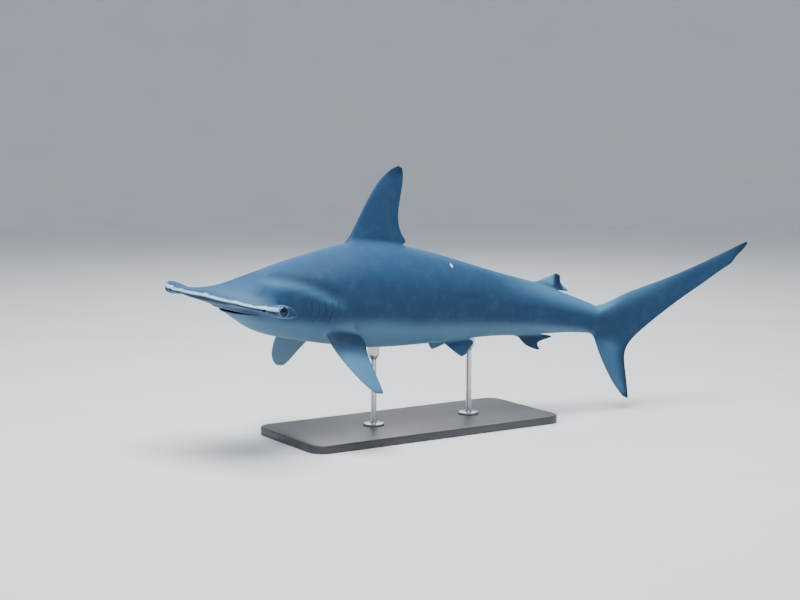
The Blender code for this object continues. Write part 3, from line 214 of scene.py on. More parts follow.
fins = {
    # tail fin, upper lobe: top x, top z, bottom x, bottom z, thickness
    "upperLobe": [
        (1.600, 0.052, 1.588, -0.072, 0.056), (1.648, 0.084, 1.626, -0.088, 0.043),
        (1.702, 0.110, 1.658, -0.090, 0.034), (1.768, 0.138, 1.698, -0.068, 0.027),
        (1.846, 0.175, 1.772, 0.004, 0.021), (1.920, 0.215, 1.858, 0.083, 0.016),
        (1.978, 0.250, 1.940, 0.148, 0.013), (2.012, 0.270, 2.000, 0.204, 0.010),
        (2.027, 0.279, 2.034, 0.226, 0.008), (2.036, 0.285, 2.042, 0.253, 0.007),
        (2.056, 0.296, 2.062, 0.272, 0.006), (2.076, 0.308, 2.078, 0.300, 0.004)],
    "lobeShares": [0.0, 0.03, 0.16, 0.34, 0.52, 0.70, 0.86, 0.975, 1.0],
    "lobeFullness": [0.0, 0.55, 1.0, 0.92, 0.72, 0.50, 0.30, 0.14, 0.0],
    "lowerLobeSections": 4,
    # upright fins: front x, front z, rear x, rear z, thickness
    "dorsal": [
        (0.592, 0.210, 0.815, 0.200, 0.034), (0.608, 0.246, 0.782, 0.224, 0.027),
        (0.633, 0.302, 0.762, 0.276, 0.022), (0.658, 0.357, 0.766, 0.334, 0.018),
        (0.690, 0.404, 0.771, 0.388, 0.014), (0.726, 0.434, 0.768, 0.422, 0.009),
        (0.748, 0.443, 0.762, 0.438, 0.005)],
    "secondDorsal": [
        (1.334, 0.113, 1.470, 0.075, 0.015), (1.354, 0.121, 1.419, 0.099, 0.011),
        (1.375, 0.130, 1.412, 0.118, 0.008), (1.396, 0.139, 1.412, 0.132, 0.004)],
    "anal": [
        (1.282, -0.094, 1.432, -0.074, 0.015), (1.298, -0.108, 1.354, -0.094, 0.011),
        (1.322, -0.119, 1.349, -0.109, 0.008), (1.352, -0.126, 1.366, -0.125, 0.004)],
    "lowerLobe": [
        (1.576, -0.104, 1.680, -0.108, 0.030), (1.602, -0.150, 1.685, -0.148, 0.020),
        (1.632, -0.198, 1.697, -0.196, 0.015), (1.662, -0.238, 1.707, -0.240, 0.010),
        (1.694, -0.268, 1.713, -0.275, 0.005)],
    # paired fins: distance out, front x, rear x, thickness
    "pectoral": [
        (0.020, 0.4585, 0.588, 0.023), (0.052, 0.4565, 0.602, 0.020), (0.092, 0.461, 0.586, 0.017),
        (0.140, 0.476, 0.581, 0.015), (0.190, 0.495, 0.580, 0.012), (0.234, 0.518, 0.579, 0.009),
        (0.266, 0.547, 0.575, 0.005)],
    "pectoralDroop": 40.0,
    "pelvic": [
        (0.011, 0.952, 1.080, 0.014), (0.030, 0.967, 1.064, 0.011), (0.050, 0.985, 1.038, 0.008),
        (0.068, 1.003, 1.025, 0.004)],
    "pelvicDroop": 45.0,
    "shares": {2: [0.05, 0.45, 0.96], 3: [0.04, 0.30, 0.66, 0.97], 4: [0.04, 0.24, 0.50, 0.76, 0.975],
               5: [0.03, 0.18, 0.38, 0.60, 0.82, 0.98]},
    "edgeFullness": 0.34,
    "bases": {"pectoral": (0.457, 0.565), "dorsal": (0.580, 0.775), "pelvic": (0.950, 1.035),
              "anal": (1.270, 1.345), "secondDorsal": (1.317, 1.390)},
}

swimPose = {"stillX": 0.792, "endX": 2.2, "headTurn": 17.5, "neckPower": 2.8, "tailTurn": 37.7,
            "tailPower": 1.5, "headRoll": 2.4, "noseUp": 6.6, "steps": 440, "level": 0.412}


def withMirror(right):
    # a closed ring from its right half, top to bottom
    return right + [Vector((p.x, -p.y, p.z)) for p in right[-2:0:-1]]


def bodyRing(x):
    top, bottom, half = along(body["back"], x), along(body["belly"], x), along(body["halfWidth"], x)
    side = mix(bottom, top, body["sideShare"])
    right = []
    for n, spots in enumerate(body["angles"]):
        angle = math.radians(along(spots, x))
        size = body["oversize"] * along(body["swell"].get(n, [(0.0, 1.0)]), x)
        reach = top - side if math.cos(angle) > 0 else side - bottom
        right.append(Vector((x, size * half * math.sin(angle), side + size * reach * math.cos(angle))))
    right[0].y = right[-1].y = 0.0
    return withMirror(right)


def lobeRing(section):
    topX, topZ, bottomX, bottomZ, thickness = section
    right = []
    for share, full in zip(fins["lobeShares"], fins["lobeFullness"]):
        right.append(Vector((mix(topX, bottomX, share), thickness / 2 * full, mix(topZ, bottomZ, share))))
    return withMirror(right)


class Cage:
    # quads whose corners are found again by a key
    def __init__(self):
        self.points, self.index, self.faces = [], {}, []

    def vertex(self, key, place=None):
        if key not in self.index:
            self.index[key] = len(self.points)
            self.points.append(Vector(place))
        return self.index[key]

    def free(self, place):
        return self.vertex(("free", len(self.points)), place)

    def face(self, *corners):
        self.faces.append(corners)

    def join(self, below, loop):
        for n in range(len(loop)):
            m = (n + 1) % len(loop)
            self.face(below[n], below[m], loop[m], loop[n])
        return loop

    def close(self, loop):
        half = len(loop) // 2
        one, other = loop[1:half], loop[:half:-1]
        self.face(loop[0], one[0], other[0])
        for n in range(len(one) - 1):
            self.face(one[n], one[n + 1], other[n + 1], other[n])
        self.face(one[-1], loop[half], other[-1])

    def smoothObject(self, name, levels):
        mesh = bpy.data.meshes.new(name)
        mesh.from_pydata([tuple(p) for p in self.points], [], self.faces)
        made = addToScene(name, mesh)
        useObject(made)
        setMode("EDIT")
        bpy.ops.mesh.select_all(action="SELECT")
        bpy.ops.mesh.normals_make_consistent(inside=False)
        setMode("OBJECT")
        smooth = made.modifiers.new("smooth", "SUBSURF")
        smooth.levels = smooth.render_levels = levels
        bpy.ops.object.modifier_apply(modifier=smooth.name)
        return made


def dome(x, y, widths, height):
    half = along(widths, x)
    return height * math.sqrt(max(0.0, 1 - (y / half) ** 2))


def larger(a, b, blend):
    near = max(blend - abs(a - b), 0.0) / blend
    return max(a, b) + near * near * blend / 4


def wingLevel(y, share):
    return along(hammer["level"], y) - along(hammer["rearDrop"], y) * share ** 2


def headHeight(x, y, share, full, upper):
    side = mix(along(body["belly"], x), along(body["back"], x), body["sideShare"])
    level = wingLevel(y, share)
    wing = along(hammer["thickness"], y) * full
    centre = mix(side, 0.0, 1 - min(x / body["neckX"], 1.0))
    if upper:
        middle = centre + dome(x, y, hammer["upperDome"], along(body["back"], x) - centre)
        return larger(level + hammer["upperShare"] * wing, middle, hammer["blend"])
    middle = dome(x, y, hammer["lowerDome"], centre - along(body["belly"], x)) - centre
    return -larger((1 - hammer["upperShare"]) * wing - level, middle, hammer["blend"])


def headPair(yFront, ends, power=1.0):
    # upper and lower line, from the front edge back to their ends
    xFront = along(hammer["front"], yFront)
    edge = Vector((xFront, yFront, along(hammer["level"], yFront)))
    pair = []
    for upper, end in zip((True, False), ends):
        line = [edge]
        for share, full in zip(hammer["shares"], hammer["fullness"]):
            x, y = mix(xFront, end.x, share), mix(yFront, end.y, share ** power)
            line.append(Vector((x, y, headHeight(x, y, share, full, upper))))
        pair.append(line + [end])
    return pair


def headLines(neck):
    lines = []
    for n, yFront in enumerate(hammer["centreFronts"]):
        lines.append(headPair(yFront, (neck[n], neck[ringHalf - n]), hammer["spread"]))
    for n, (yFront, yRear) in enumerate(zip(hammer["wingFronts"], hammer["wingRears"])):
        end = Vector((along(hammer["rear"], yRear), yRear, wingLevel(yRear, 1.0)))
        if n == 0:
            end = neck[ringHalf // 2]
        lines.append(headPair(yFront, (end, end)))
    return lines


def addHead(cage, neck):
    lines = headLines(neck)
    outer, rows, centre = len(lines) - 1, len(hammer["shares"]) + 1, len(hammer["centreFronts"])

    def spot(j, row, upper):
        side, n = (1 if j >= 0 else -1), abs(j)
        place = lines[n][0 if upper else 1][row].copy()
        place.y *= side
        if row == 0:
            key = ("edge", j)
        elif row < rows:
            key = ("head", j, row, upper)
        elif n < centre:
            key = ("ring", 0, (j if upper else ringHalf - j) % ringCount)
        elif n == centre:
            key = ("ring", 0, side * ringHalf // 2 % ringCount)
        else:
            key = ("rear", j)
        return cage.vertex(key, place)

    for j in range(-outer, outer):
        for row in range(rows):
            for upper in (True, False):
                cage.face(spot(j, row, upper), spot(j + 1, row, upper),
                          spot(j + 1, row + 1, upper), spot(j, row + 1, upper))
    for j in (-outer, outer):
        top = [spot(j, row, True) for row in range(rows + 1)]
        under = [spot(j, row, False) for row in range(rows - 1, 0, -1)]
        cage.close(top + under)


def finPoint(front, rear, share, side, thickness):
    full = 1.0 if 0.2 < share < 0.7 else fins["edgeFullness"] + 0.6 * (4 * share * (1 - share)) ** 0.6
    return mix(front, rear, share), side * thickness / 2 * full


def growUpright(cage, base, sections):
    shares = fins["shares"][len(base) - 1]
    below = [base[0][1]] + [row[2] for row in base] + [base[-1][1]] + [row[0] for row in base[::-1]]
    for frontX, frontZ, rearX, rearZ, thickness in sections:
        front, rear = Vector((frontX, 0, frontZ)), Vector((rearX, 0, rearZ))
        loop = [cage.free(front)]
        for side, order in ((1, shares), (-1, shares[::-1])):
            for share in order:
                place, y = finPoint(front, rear, share, side, thickness)
                loop.append(cage.free(place + Vector((0, y, 0))))
            if side > 0:
                loop.append(cage.free(rear))
        below = cage.join(below, loop)
    cage.close(below)


def growPaired(cage, base, sections, droop, side):
    shares = fins["shares"][len(base) - 1]
    middle = [(cage.points[a] + cage.points[b]) / 2 for a, b in base]
    rootFront, rootRear = middle[0], middle[-1]
    angle = math.radians(droop)
    out = Vector((0, side * math.cos(angle), -math.sin(angle)))
    normal = Vector((0, side * math.sin(angle), math.cos(angle)))
    below = [pair[0] for pair in base] + [pair[1] for pair in base[::-1]]
    for distance, frontX, rearX, thickness in sections:
        loop = []
        for face, order in ((1, shares), (-1, shares[::-1])):
            for share in order:
                reach = 0.0 if share == shares[0] else 1.0 if share == shares[-1] else share
                _, lift = finPoint(rootFront, rootRear, share, face, thickness)
                root = mix(rootFront, rootRear, reach)
                place = Vector((mix(frontX, rearX, reach), root.y, root.z)) + out * distance
                loop.append(cage.free(place + normal * lift))
        below = cage.join(below, loop)
    half = len(below) // 2
    for n in range(half - 1):
        cage.face(below[n], below[n + 1], below[-2 - n], below[-1 - n])


def sharkCage():
    cage = Cage()
    rings = [bodyRing(x) for x in body["rings"]] + [lobeRing(s) for s in fins["upperLobe"]]
    for i, ring in enumerate(rings):
        for k, place in enumerate(ring):
            cage.vertex(("ring", i, k), place)

    def at(i, k):
        return cage.index[("ring", i, k % ringCount)]

    def span(name):
        first, last = fins["bases"][name]
        return range(body["rings"].index(first), body["rings"].index(last))

    tail = len(body["rings"]) - 1
    lobe = range(tail, tail + fins["lowerLobeSections"])
    holes = {(i, k) for name in ("dorsal", "secondDorsal") for i in span(name) for k in (ringCount - 1, 0)}
    holes |= {(i, k) for i in list(span("anal")) + list(lobe) for k in (7, 8)}
    holes |= {(i, k) for i in span("pectoral") for k in (5, 10)}
    holes |= {(i, k) for i in span("pelvic") for k in (6, 9)}
    for i in range(len(rings) - 1):
        for k in range(ringCount):
            if (i, k) not in holes:
                cage.face(at(i, k), at(i, k + 1), at(i + 1, k + 1), at(i + 1, k))
    cage.close([at(len(rings) - 1, k) for k in range(ringCount)])
    addHead(cage, rings[0])

    def strip(base, across):
        return [tuple(at(i, k) for k in across) for i in list(base) + [base[-1] + 1]]

    uprights = {"dorsal": (span("dorsal"), (-1, 0, 1)), "secondDorsal": (span("secondDorsal"), (-1, 0, 1)),
                "anal": (span("anal"), (9, 8, 7)), "lowerLobe": (lobe, (9, 8, 7))}
    for name, (base, across) in uprights.items():
        growUpright(cage, strip(base, across), fins[name])
    for name, places in {"pectoral": ((5, 6), (11, 10)), "pelvic": ((6, 7), (10, 9))}.items():
        for side, across in zip((1, -1), places):
            growPaired(cage, strip(span(name), across), fins[name], fins[name + "Droop"], side)
    return cage


def turnAt(x):
    x = np.asarray(x, float)
    still, neck = swimPose["stillX"], body["neckX"]
    ahead = np.clip((still - np.maximum(x, neck)) / (still - neck), 0, 1)
    behind = np.clip((x - still) / (swimPose["endX"] - still), 0, None)
    return (-math.radians(swimPose["headTurn"]) * ahead ** swimPose["neckPower"]
            + math.radians(swimPose["tailTurn"]) * behind ** swimPose["tailPower"])


def middleLine():
    step = swimPose["endX"] / swimPose["steps"]
    turns = turnAt((np.arange(swimPose["steps"]) + 0.5) * step)
    run = np.stack([np.cos(turns), -np.sin(turns)], 1) * step
    places = np.concatenate([[[0.0, 0.0]], np.cumsum(run, 0)])
    xs = np.arange(swimPose["steps"] + 1) * step
    centre = [np.interp(swimPose["stillX"], xs, places[:, k]) for k in (0, 1)]
    return xs, places - centre


lineXs, linePlaces = middleLine()
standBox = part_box("stand_base")


def bentPlace(points):
    # straight points, one a row, to the swimming pose, before the whole is centred
    x, y, z = points[:, 0], points[:, 1], points[:, 2]
    turn = turnAt(x)
    headTurn = math.radians(swimPose["headTurn"])
    roll = -math.radians(swimPose["headRoll"]) * turnAt(np.minimum(x, swimPose["stillX"])) / headTurn
    across = y * np.cos(roll) - z * np.sin(roll)
    height = y * np.sin(roll) + z * np.cos(roll)
    px = np.interp(x, lineXs, linePlaces[:, 0]) + np.sin(turn) * across
    py = np.interp(x, lineXs, linePlaces[:, 1]) + np.cos(turn) * across
    up = math.radians(swimPose["noseUp"])
    return np.stack([px * math.cos(up) + height * math.sin(up), py,
                     -px * math.sin(up) + height * math.cos(up) + swimPose["level"]], 1)


standX = 0.850  # where the base's centre lies along the straight animal
standMiddle = (standBox[0] + standBox[1]) / 2
baseSpot = bentPlace(np.array([[standX, 0.0, 0.0]]))[0]
modelShift = np.array([standMiddle.x - baseSpot[0], standMiddle.y - baseSpot[1], 0.0])


def posed(points):
    return bentPlace(np.asarray(points, float)) + modelShift


skinMesh = {
    "levels": 2, "limitLevels": 4,
    # how near to each feature the faces are halved, step by step
    "refine": [
        {"gills": (0.022, 1.30), "mouth": 0.014, "eyes": (0.0, 0.036), "nostril": 0.022, "groove": 0.012},
        {"gills": (0.012, 1.18), "mouth": 0.008, "eyes": (0.009, 0.028), "nostril": 0.017, "groove": 0.007},
        {"gills": (0.0062, 1.08), "mouth": 0.004, "eyes": (0.011, 0.022), "nostril": 0.014, "groove": 0.0045},
        {"gills": (0.0026, 1.02), "groove": 0.0022}],
}
mouth = {"z": -0.0415, "frontX": 0.100, "hingeX": 0.192, "gape": 0.017, "halfWidth": 0.072, "depth": 0.040,
         "lipHeight": 0.0024, "lipWidth": 0.0030, "tuck": 0.0012, "corner": 0.0022}
gills = {"xs": [0.378, 0.407, 0.435, 0.461, 0.485], "halves": [0.029, 0.032, 0.033, 0.031, 0.025],
         "zs": [-0.026, -0.027, -0.028, -0.026, -0.019], "bow": 0.005, "length": 0.021,
         "lift": 0.0036, "depth": 0.0062, "slit": 0.0090, "overhang": 0.0018}
nostril = {"at": (0.0900, 0.1975, -0.0095), "size": (0.0080, 0.0115, 0.0042), "depth": 0.0065,
           "flap": 0.0009, "reach": 0.022, "groove": (0.192, 0.122), "groovePoints": 30,
           "grooveDrop": 0.0040, "grooveWidth": 0.0017, "grooveDepth": 0.0026}
eyes = {"x": 0.116, "z": -0.0055, "forward": 12.0, "radius": 0.0150, "depth": 0.0100, "standOut": 0.0035,
        "lid": (0.0160, 0.0158), "lidHeight": 0.0030, "socket": 0.0110, "fold": 0.0007, "reach": 0.045}
underside = {"ventX": 1.030, "ventSize": (0.020, 0.0035), "ventDepth": 0.0030}
tailPit = {"x": 1.556, "size": 0.010, "depth": 0.0045}


def refine(made, near, limit):
    # halves the faces near the features, and lays the new points on the smooth surface
    count = len(made.data.vertices)
    selectParts(made, "FACE", nearFeatures(readAll(made.data.polygons, "center"), near))
    bpy.ops.mesh.subdivide(number_cuts=1)
    setMode("OBJECT")
    places = readAll(made.data.vertices, "co")
    for n in range(count, len(places)):
        places[n] = limit.find_nearest(Vector(places[n]))[0]
    setPlaces(made, places)


def gillPlace(p, n):
    # how far points lie behind the edge of a gill flap, and where along its height, -1 to 1
    s = (gills["zs"][n] - p[:, 2]) / gills["halves"][n]
    return p[:, 0] - gills["xs"][n] - gills["bow"] * (1 - s * s), s


def nearGills(p, across, ends):
    found = np.zeros(len(p), bool)
    for n in range(len(gills["xs"])):
        b, s = gillPlace(p, n)
        found |= (np.abs(b) < across) & (np.abs(s) < ends)
    return found & (np.abs(p[:, 1]) > 0.06) & (np.abs(p[:, 1]) < 0.14)


def mouthPlace(p):
    # how far points lie outside the mouth's opening, and half the opening there
    taper = np.clip(1 - (p[:, 1] / mouth["halfWidth"]) ** 2, 0, 1) ** 0.35
    share = np.clip((mouth["hingeX"] - p[:, 0]) / (mouth["hingeX"] - mouth["frontX"]), 0, 1)
    half = mouth["gape"] / 2 * taper * share
    return np.abs(p[:, 2] - mouth["z"]) - half, half


def nearMouth(p, across):
    e, half = mouthPlace(p)
    within = (p[:, 0] > 0.09) & (p[:, 0] < 0.195) & (np.abs(p[:, 1]) < 0.086) & (p[:, 2] < -0.024)
    return within & (e < across)


def eyePlace(p, side):
    place = eyeAxes(side)
    return (p - np.array(place.translation)) @ np.array(place.to_3x3())


def nearEyes(p, low, high):
    found = np.zeros(len(p), bool)
    for side in (-1, 1):
        away = np.linalg.norm(eyePlace(p, side), axis=1)
        found |= (away > low) & (away < high)
    return found


def folded(p):
    # points brought to the right side
    return np.stack([p[:, 0], np.abs(p[:, 1]), p[:, 2]], 1)


def nostrilAway(p):
    x, y, z = nostril["at"]
    return np.sqrt((p[:, 0] - x) ** 2 + (np.abs(p[:, 1]) - y) ** 2 + (p[:, 2] - z) ** 2)


def grooveAway(p, line):
    # distance from points to the groove's line
    q = folded(p)
    best = np.full(len(q), 1.0)
    near = np.where((q[:, 0] < 0.12) & (q[:, 1] > 0.10) & (q[:, 1] < 0.22))[0]
    for a, b in zip(line[:-1], line[1:]):
        t = np.clip((q[near] - a) @ (b - a) / ((b - a) @ (b - a)), 0, 1)
        best[near] = np.minimum(best[near], np.linalg.norm(q[near] - a - t[:, None] * (b - a), axis=1))
    return best


def eyeAxes(side):
    start = Vector((eyes["x"], side * hammer["halfWidth"], eyes["z"]))
    surface = limitTree.find_nearest(start)[0]
    turn = math.radians(eyes["forward"])
    outward = Vector((-math.sin(turn), side * math.cos(turn), 0.0))
    ahead = Vector((0.0, 0.0, 1.0)).cross(outward)
    axes = Matrix((ahead, outward.cross(ahead), outward)).transposed()
    return Matrix.Translation(surface) @ axes.to_4x4()


def groovePoints():
    first, last = nostril["groove"]
    points = []
    for n in range(nostril["groovePoints"]):
        y = mix(first, last, n / (nostril["groovePoints"] - 1))
        start = Vector((-0.3, y, along(hammer["level"], y) - nostril["grooveDrop"]))
        points.append(limitTree.ray_cast(start, Vector((1.0, 0.0, 0.0)))[0])
    return np.array([tuple(p) for p in points])


def nearFeatures(p, near):
    found = nearGills(p, *near["gills"]) | (grooveAway(p, grooveLine) < near["groove"])
    if "mouth" in near:
        found |= nearMouth(p, near["mouth"]) | nearEyes(p, *near["eyes"]) | (nostrilAway(p) < near["nostril"])
    return found


print("making the skin")
cage = sharkCage()
limitObject = cage.smoothObject("limit", skinMesh["limitLevels"])
limitTree = BVHTree.FromPolygons([v.co for v in limitObject.data.vertices],
                                 [p.vertices[:] for p in limitObject.data.polygons])
bpy.data.objects.remove(limitObject)
skin = cage.smoothObject("shark_skin", skinMesh["levels"])
grooveLine = groovePoints()
for near in skinMesh["refine"]:
    refine(skin, near, limitTree)
    print("skin faces", len(skin.data.polygons))

# marks that the sculpting leaves for the finish, one value a point
straight = readAll(skin.data.vertices, "co")
normals = readAll(skin.data.vertex_normals, "vector")
recessShade = np.zeros(len(straight))  # painted shade inside the slits, mouth and nostrils
rimHighlight = np.zeros(len(straight))  # painted highlight on the lids, lips and the edges of the gill flaps


def addMark(mark, values):
    mark[:] = np.maximum(mark, values)


def sculptGills(points):
    moved = points.copy()
    onSide = (np.abs(normals[:, 1]) > 0.3) & (np.abs(straight[:, 1]) > 0.06)
    for n in range(len(gills["xs"])):
        b, s = gillPlace(straight, n)
        fade = np.clip(1 - s * s, 0, 1) ** 0.5 * onSide
        length = gills["length"] * (0.35 + 0.65 * fade)
        step = ease(b, -0.0003, 0.0007)
        flap = np.clip((b + length) / length, 0, 1) ** 1.6 * (1 - step)
        drop = np.clip(1 - b / gills["slit"], 0, 1) ** 1.4 * step
        moved += normals * ((flap * gills["lift"] - drop * gills["depth"]) * fade)[:, None]
        moved[:, 0] += gills["overhang"] * flap ** 5 * fade  # the flap's edge hangs over the slit
        # painted shade in the gill slit, and a painted highlight along the flap's edge
        addMark(recessShade, 0.55 * step * (1 - ease(b, 0.0022, 0.0064)) * np.clip(fade * 1.7, 0, 1))
        addMark(rimHighlight, flap ** 8 * fade * 0.25)
    return moved


def sculptMouth(points):
    moved = points.copy()
    e, half = mouthPlace(straight)
    y = np.abs(straight[:, 1])
    nearLips = nearMouth(straight, 0.03) & (normals[:, 0] < 0.2)
    opened = nearLips & (half > 0.0003)
    snap = opened & (np.abs(e) < 0.0005)
    up = np.sign(straight[:, 2] - mouth["z"])
    moved[:, 2] -= np.where(snap, e * up, 0.0)  # the points nearest the lips lie on their edge
    e = np.where(snap, 0.0, e)
    inward = np.clip(-e / 0.0040, 0, 1) * opened
    moved[:, 0] += mouth["depth"] * inward
    ends = ease(-y, -mouth["halfWidth"] - 0.008, -mouth["halfWidth"] + 0.014)
    width = mouth["lipWidth"]
    lip = hump(e, width, width) * nearLips * ends * (e >= 0)
    tuck = hump(e, 0.0, 0.0012) * nearLips * ends * (e >= -0.0002)
    moved += normals * (lip * mouth["lipHeight"] - tuck * mouth["tuck"])[:, None]
    corner = hump(straight[:, 2], mouth["z"], 0.0018) * nearLips
    corner *= band(y, 0.060, 0.068, 0.076, 0.086)
    moved -= normals * (corner * mouth["corner"])[:, None]
    # painted shade inside the mouth and at its corners, and a painted highlight on the lips
    addMark(recessShade, np.maximum(np.clip(-e / 0.0012, 0, 1) * opened, corner * 0.6))
    addMark(rimHighlight, lip * 0.6)
    return moved


def sculptNostrils(points):
    moved = points.copy()
    r = np.linalg.norm((folded(straight) - np.array(nostril["at"])) / np.array(nostril["size"]), axis=1)
    near = nostrilAway(straight) < nostril["reach"]
    pit = (1 - ease(r, 0.55, 1.05)) * near
    flap = hump(r, 1.22, 0.22) * near
    moved += normals * (flap * nostril["flap"] - pit * nostril["depth"])[:, None]
    cut = hump(grooveAway(straight, grooveLine), 0.0, nostril["grooveWidth"]) * (1 - pit)
    moved -= normals * (cut * nostril["grooveDepth"])[:, None]
    # painted shade in the nostril's pit and groove, and a painted highlight on its flap
    addMark(recessShade, np.maximum(pit, cut * 0.62))
    addMark(rimHighlight, flap * 0.8)
    return moved


def sculptEyes(points):
    moved = points.copy()
    for side in (-1, 1):
        u, v, w = eyePlace(straight, side).T
        near = (u * u + v * v + w * w < eyes["reach"] ** 2) & (straight[:, 1] * side > 0) & (w > -0.016)
        r = np.sqrt((u / eyes["lid"][0]) ** 2 + (v / eyes["lid"][1]) ** 2)
        ring = hump(r, 1.02, 0.15) * near
        heavier = 1.0 + 0.35 * ease(v, 0.0, 0.014)  # the upper lid
        outward = np.array(eyeAxes(side).to_3x3().col[2])
        moved += (ring * eyes["lidHeight"] * heavier)[:, None] * (0.5 * normals + 0.5 * outward)
        bowl = (1 - ease(r, 0.80, 0.93)) * near
        moved -= outward * (bowl * eyes["socket"])[:, None]
        fold = hump(r, 1.42, 0.10) * near * ease(v, -0.002, 0.010)
        moved -= normals * (fold * eyes["fold"])[:, None]
        # painted shade in the eye's socket, and a painted highlight on the lid
        addMark(recessShade, bowl)
        addMark(rimHighlight, ring)
    return moved


def sculptBody(points):
    # the vent between the pelvic fins, and the pit ahead of the tail fin
    x, y, z = straight.T
    length, width = underside["ventSize"]
    vent = hump(y, 0.0, width) * hump(x, underside["ventX"], length, 4) * (normals[:, 2] < -0.6)
    pit = hump(x, tailPit["x"], tailPit["size"]) * ease(normals[:, 2], 0.2, 0.8) * (z < 0.08)
    # painted shade in the vent
    addMark(recessShade, vent * 0.5)
    return points - normals * (vent * underside["ventDepth"] + pit * tailPit["depth"])[:, None]


shaped = straight
for sculpt in (sculptGills, sculptMouth, sculptNostrils, sculptEyes, sculptBody):
    shaped = sculpt(shaped)
setPlaces(skin, posed(shaped))
print("skin sculpted and posed")

marks = {
    # where the dark side turns pale: height along x, and how softly
    "border": [
        (0.03, -0.026), (0.12, -0.040), (0.22, -0.056), (0.345, -0.060), (0.466, -0.068), (0.538, -0.056),
        (0.653, -0.052), (0.813, -0.054), (0.982, -0.048), (1.154, -0.042), (1.323, -0.036), (1.50, -0.042),
        (1.56, -0.060), (1.60, -0.25), (1.64, -0.50), (2.1, -0.50)],
    "borderSoft": [(0.03, 0.012), (0.25, 0.030), (0.50, 0.044), (0.90, 0.040), (1.40, 0.026), (2.1, 0.020)],
    "spots": [((0.955, -0.054, 0.141), (0.0055, 0.0120, 0.0095))],
    "lateralLine": [
        (0.40, 0.066), (0.60, 0.074), (0.90, 0.058), (1.20, 0.030), (1.50, 0.004), (1.60, -0.008)],
    "crest": [  # painted highlight over the gills, height along x
        (0.217, 0.052), (0.316, 0.050), (0.359, 0.043), (0.391, 0.033), (0.434, 0.020), (0.513, -0.007)],
    "hollowShade": [  # painted shade above the crest
        (0.258, 0.074), (0.318, 0.076), (0.384, 0.065), (0.455, 0.054), (0.510, 0.042), (0.567, 0.017)],
    # edges of the tail fin: x along the depth of its lower lobe, and height along x of its upper one
    "lowerFront": [(0.07, 1.560), (0.15, 1.602), (0.20, 1.632), (0.275, 1.694)],
    "lowerRear": [(0.07, 1.690), (0.15, 1.685), (0.20, 1.697), (0.275, 1.713)],
    "upperFront": [(1.60, 0.052), (1.77, 0.138), (1.92, 0.215), (2.08, 0.308)],
    # from x to x
    "zones": {"pectoral": (0.43, 0.64), "pelvic": (0.94, 1.10), "anal": (1.26, 1.45), "dorsal": (0.55, 1.5),
              "firstDorsal": (0.55, 0.9), "secondDorsal": (1.30, 1.5), "gillSide": (0.20, 0.60),
              "lateral": (0.40, 1.58), "tail": (1.56, 2.2), "lowerTip": (1.57, 2.2)},
}


def paintMark(name, values):
    addLayer(skin, name, "FLOAT", "value", values)


def zone(name):
    low, high = marks["zones"][name]
    return (x > low) * (x < high)


x, y, z = straight.T
side, facing = np.abs(y), normals[:, 2]
past = side - curveValues(body["halfWidth"], x)  # how far out from the body's side
below = curveValues(body["belly"], x) - z
borderZ, soft = curveValues(marks["border"], x), curveValues(marks["borderSoft"], x)
onWing = ease(side, 0.070, 0.110) * (1 - ease(x, 0.24, 0.30))
onPectoral = ease(past, -0.010, 0.012) * zone("pectoral") * (z < -0.050)
onPelvic = ease(below, -0.014, 0.004) * zone("pelvic") * ease(side, 0.020, 0.040)
onAnal = ease(below, -0.004, 0.010) * zone("anal")
onDorsal = ease(z - curveValues(body["back"], x), 0.004, 0.020) * zone("dorsal")
onSecond = onDorsal * zone("secondDorsal")
pale = 1 - ease(z, borderZ - soft, borderZ + soft)
pale = mix(pale, 0.9 * (1 - ease(facing, -0.75, -0.10)), onWing)
pale = mix(pale, 1 - ease(facing, -0.20, 0.30), onPectoral)
pale = mix(pale, 0.9 * (1 - ease(facing, -0.5, 0.0)), onPelvic)
pale = mix(pale, 0.0, onAnal)
paintMark("pale", pale)
# the painted shade in the recesses and the painted highlights on the rims
paintMark("recessShade", recessShade)
paintMark("rimHighlight", rimHighlight)

# the hammer's front edge gets a painted highlight, with painted shade beneath it along the groove
back = x - curveValues(hammer["front"], side)
above = z - curveValues(hammer["level"], side)
onHead = (x < 0.20) & (side < hammer["halfWidth"] - 0.004)
paintMark("frontEdgeHighlight", (1 - ease(back, 0.004, 0.010)) * ease(above, -0.0010, 0.0022) * onHead)
paintMark("frontUnderShade", (1 - ease(back, 0.008, 0.018)) * (1 - ease(above, -0.0045, -0.0012)) * onHead)
# painted shade in the hollow on the upper side of each wing
paintMark("wingHollowShade", band(side, 0.10, 0.15, 0.205, 0.235) * ease(x, 0.075, 0.110) * (x < 0.24)
          * ease(facing, 0.2, 0.6))

# how far towards its tip a fin's point lies
blade = rise(past, -0.006, 0.199)
paintMark("finSpan", np.maximum.reduce([
    onDorsal * rise(z, 0.19, 0.445) * zone("firstDorsal"), onSecond * rise(z, 0.10, 0.14),
    onPectoral * blade, onPelvic * 0.7, onAnal * 0.9,
    rise(-z, 0.10, 0.275) * zone("lowerTip"), rise(x, 1.75, 2.08) * (z > 0.08)]))
# painted light on the outer blade of the pectoral's upper side, and painted shadow of the body at its root
onTop = ease(facing, -0.1, 0.3) * onPectoral
paintMark("blade", ease(blade, 0.20, 0.50) * onTop)
paintMark("root", (1 - ease(blade, 0.16, 0.42)) * onTop)
fin = np.maximum.reduce([onDorsal, onPectoral, onPelvic, onAnal, ease(x, 1.58, 1.64)])
paintMark("fin", fin)

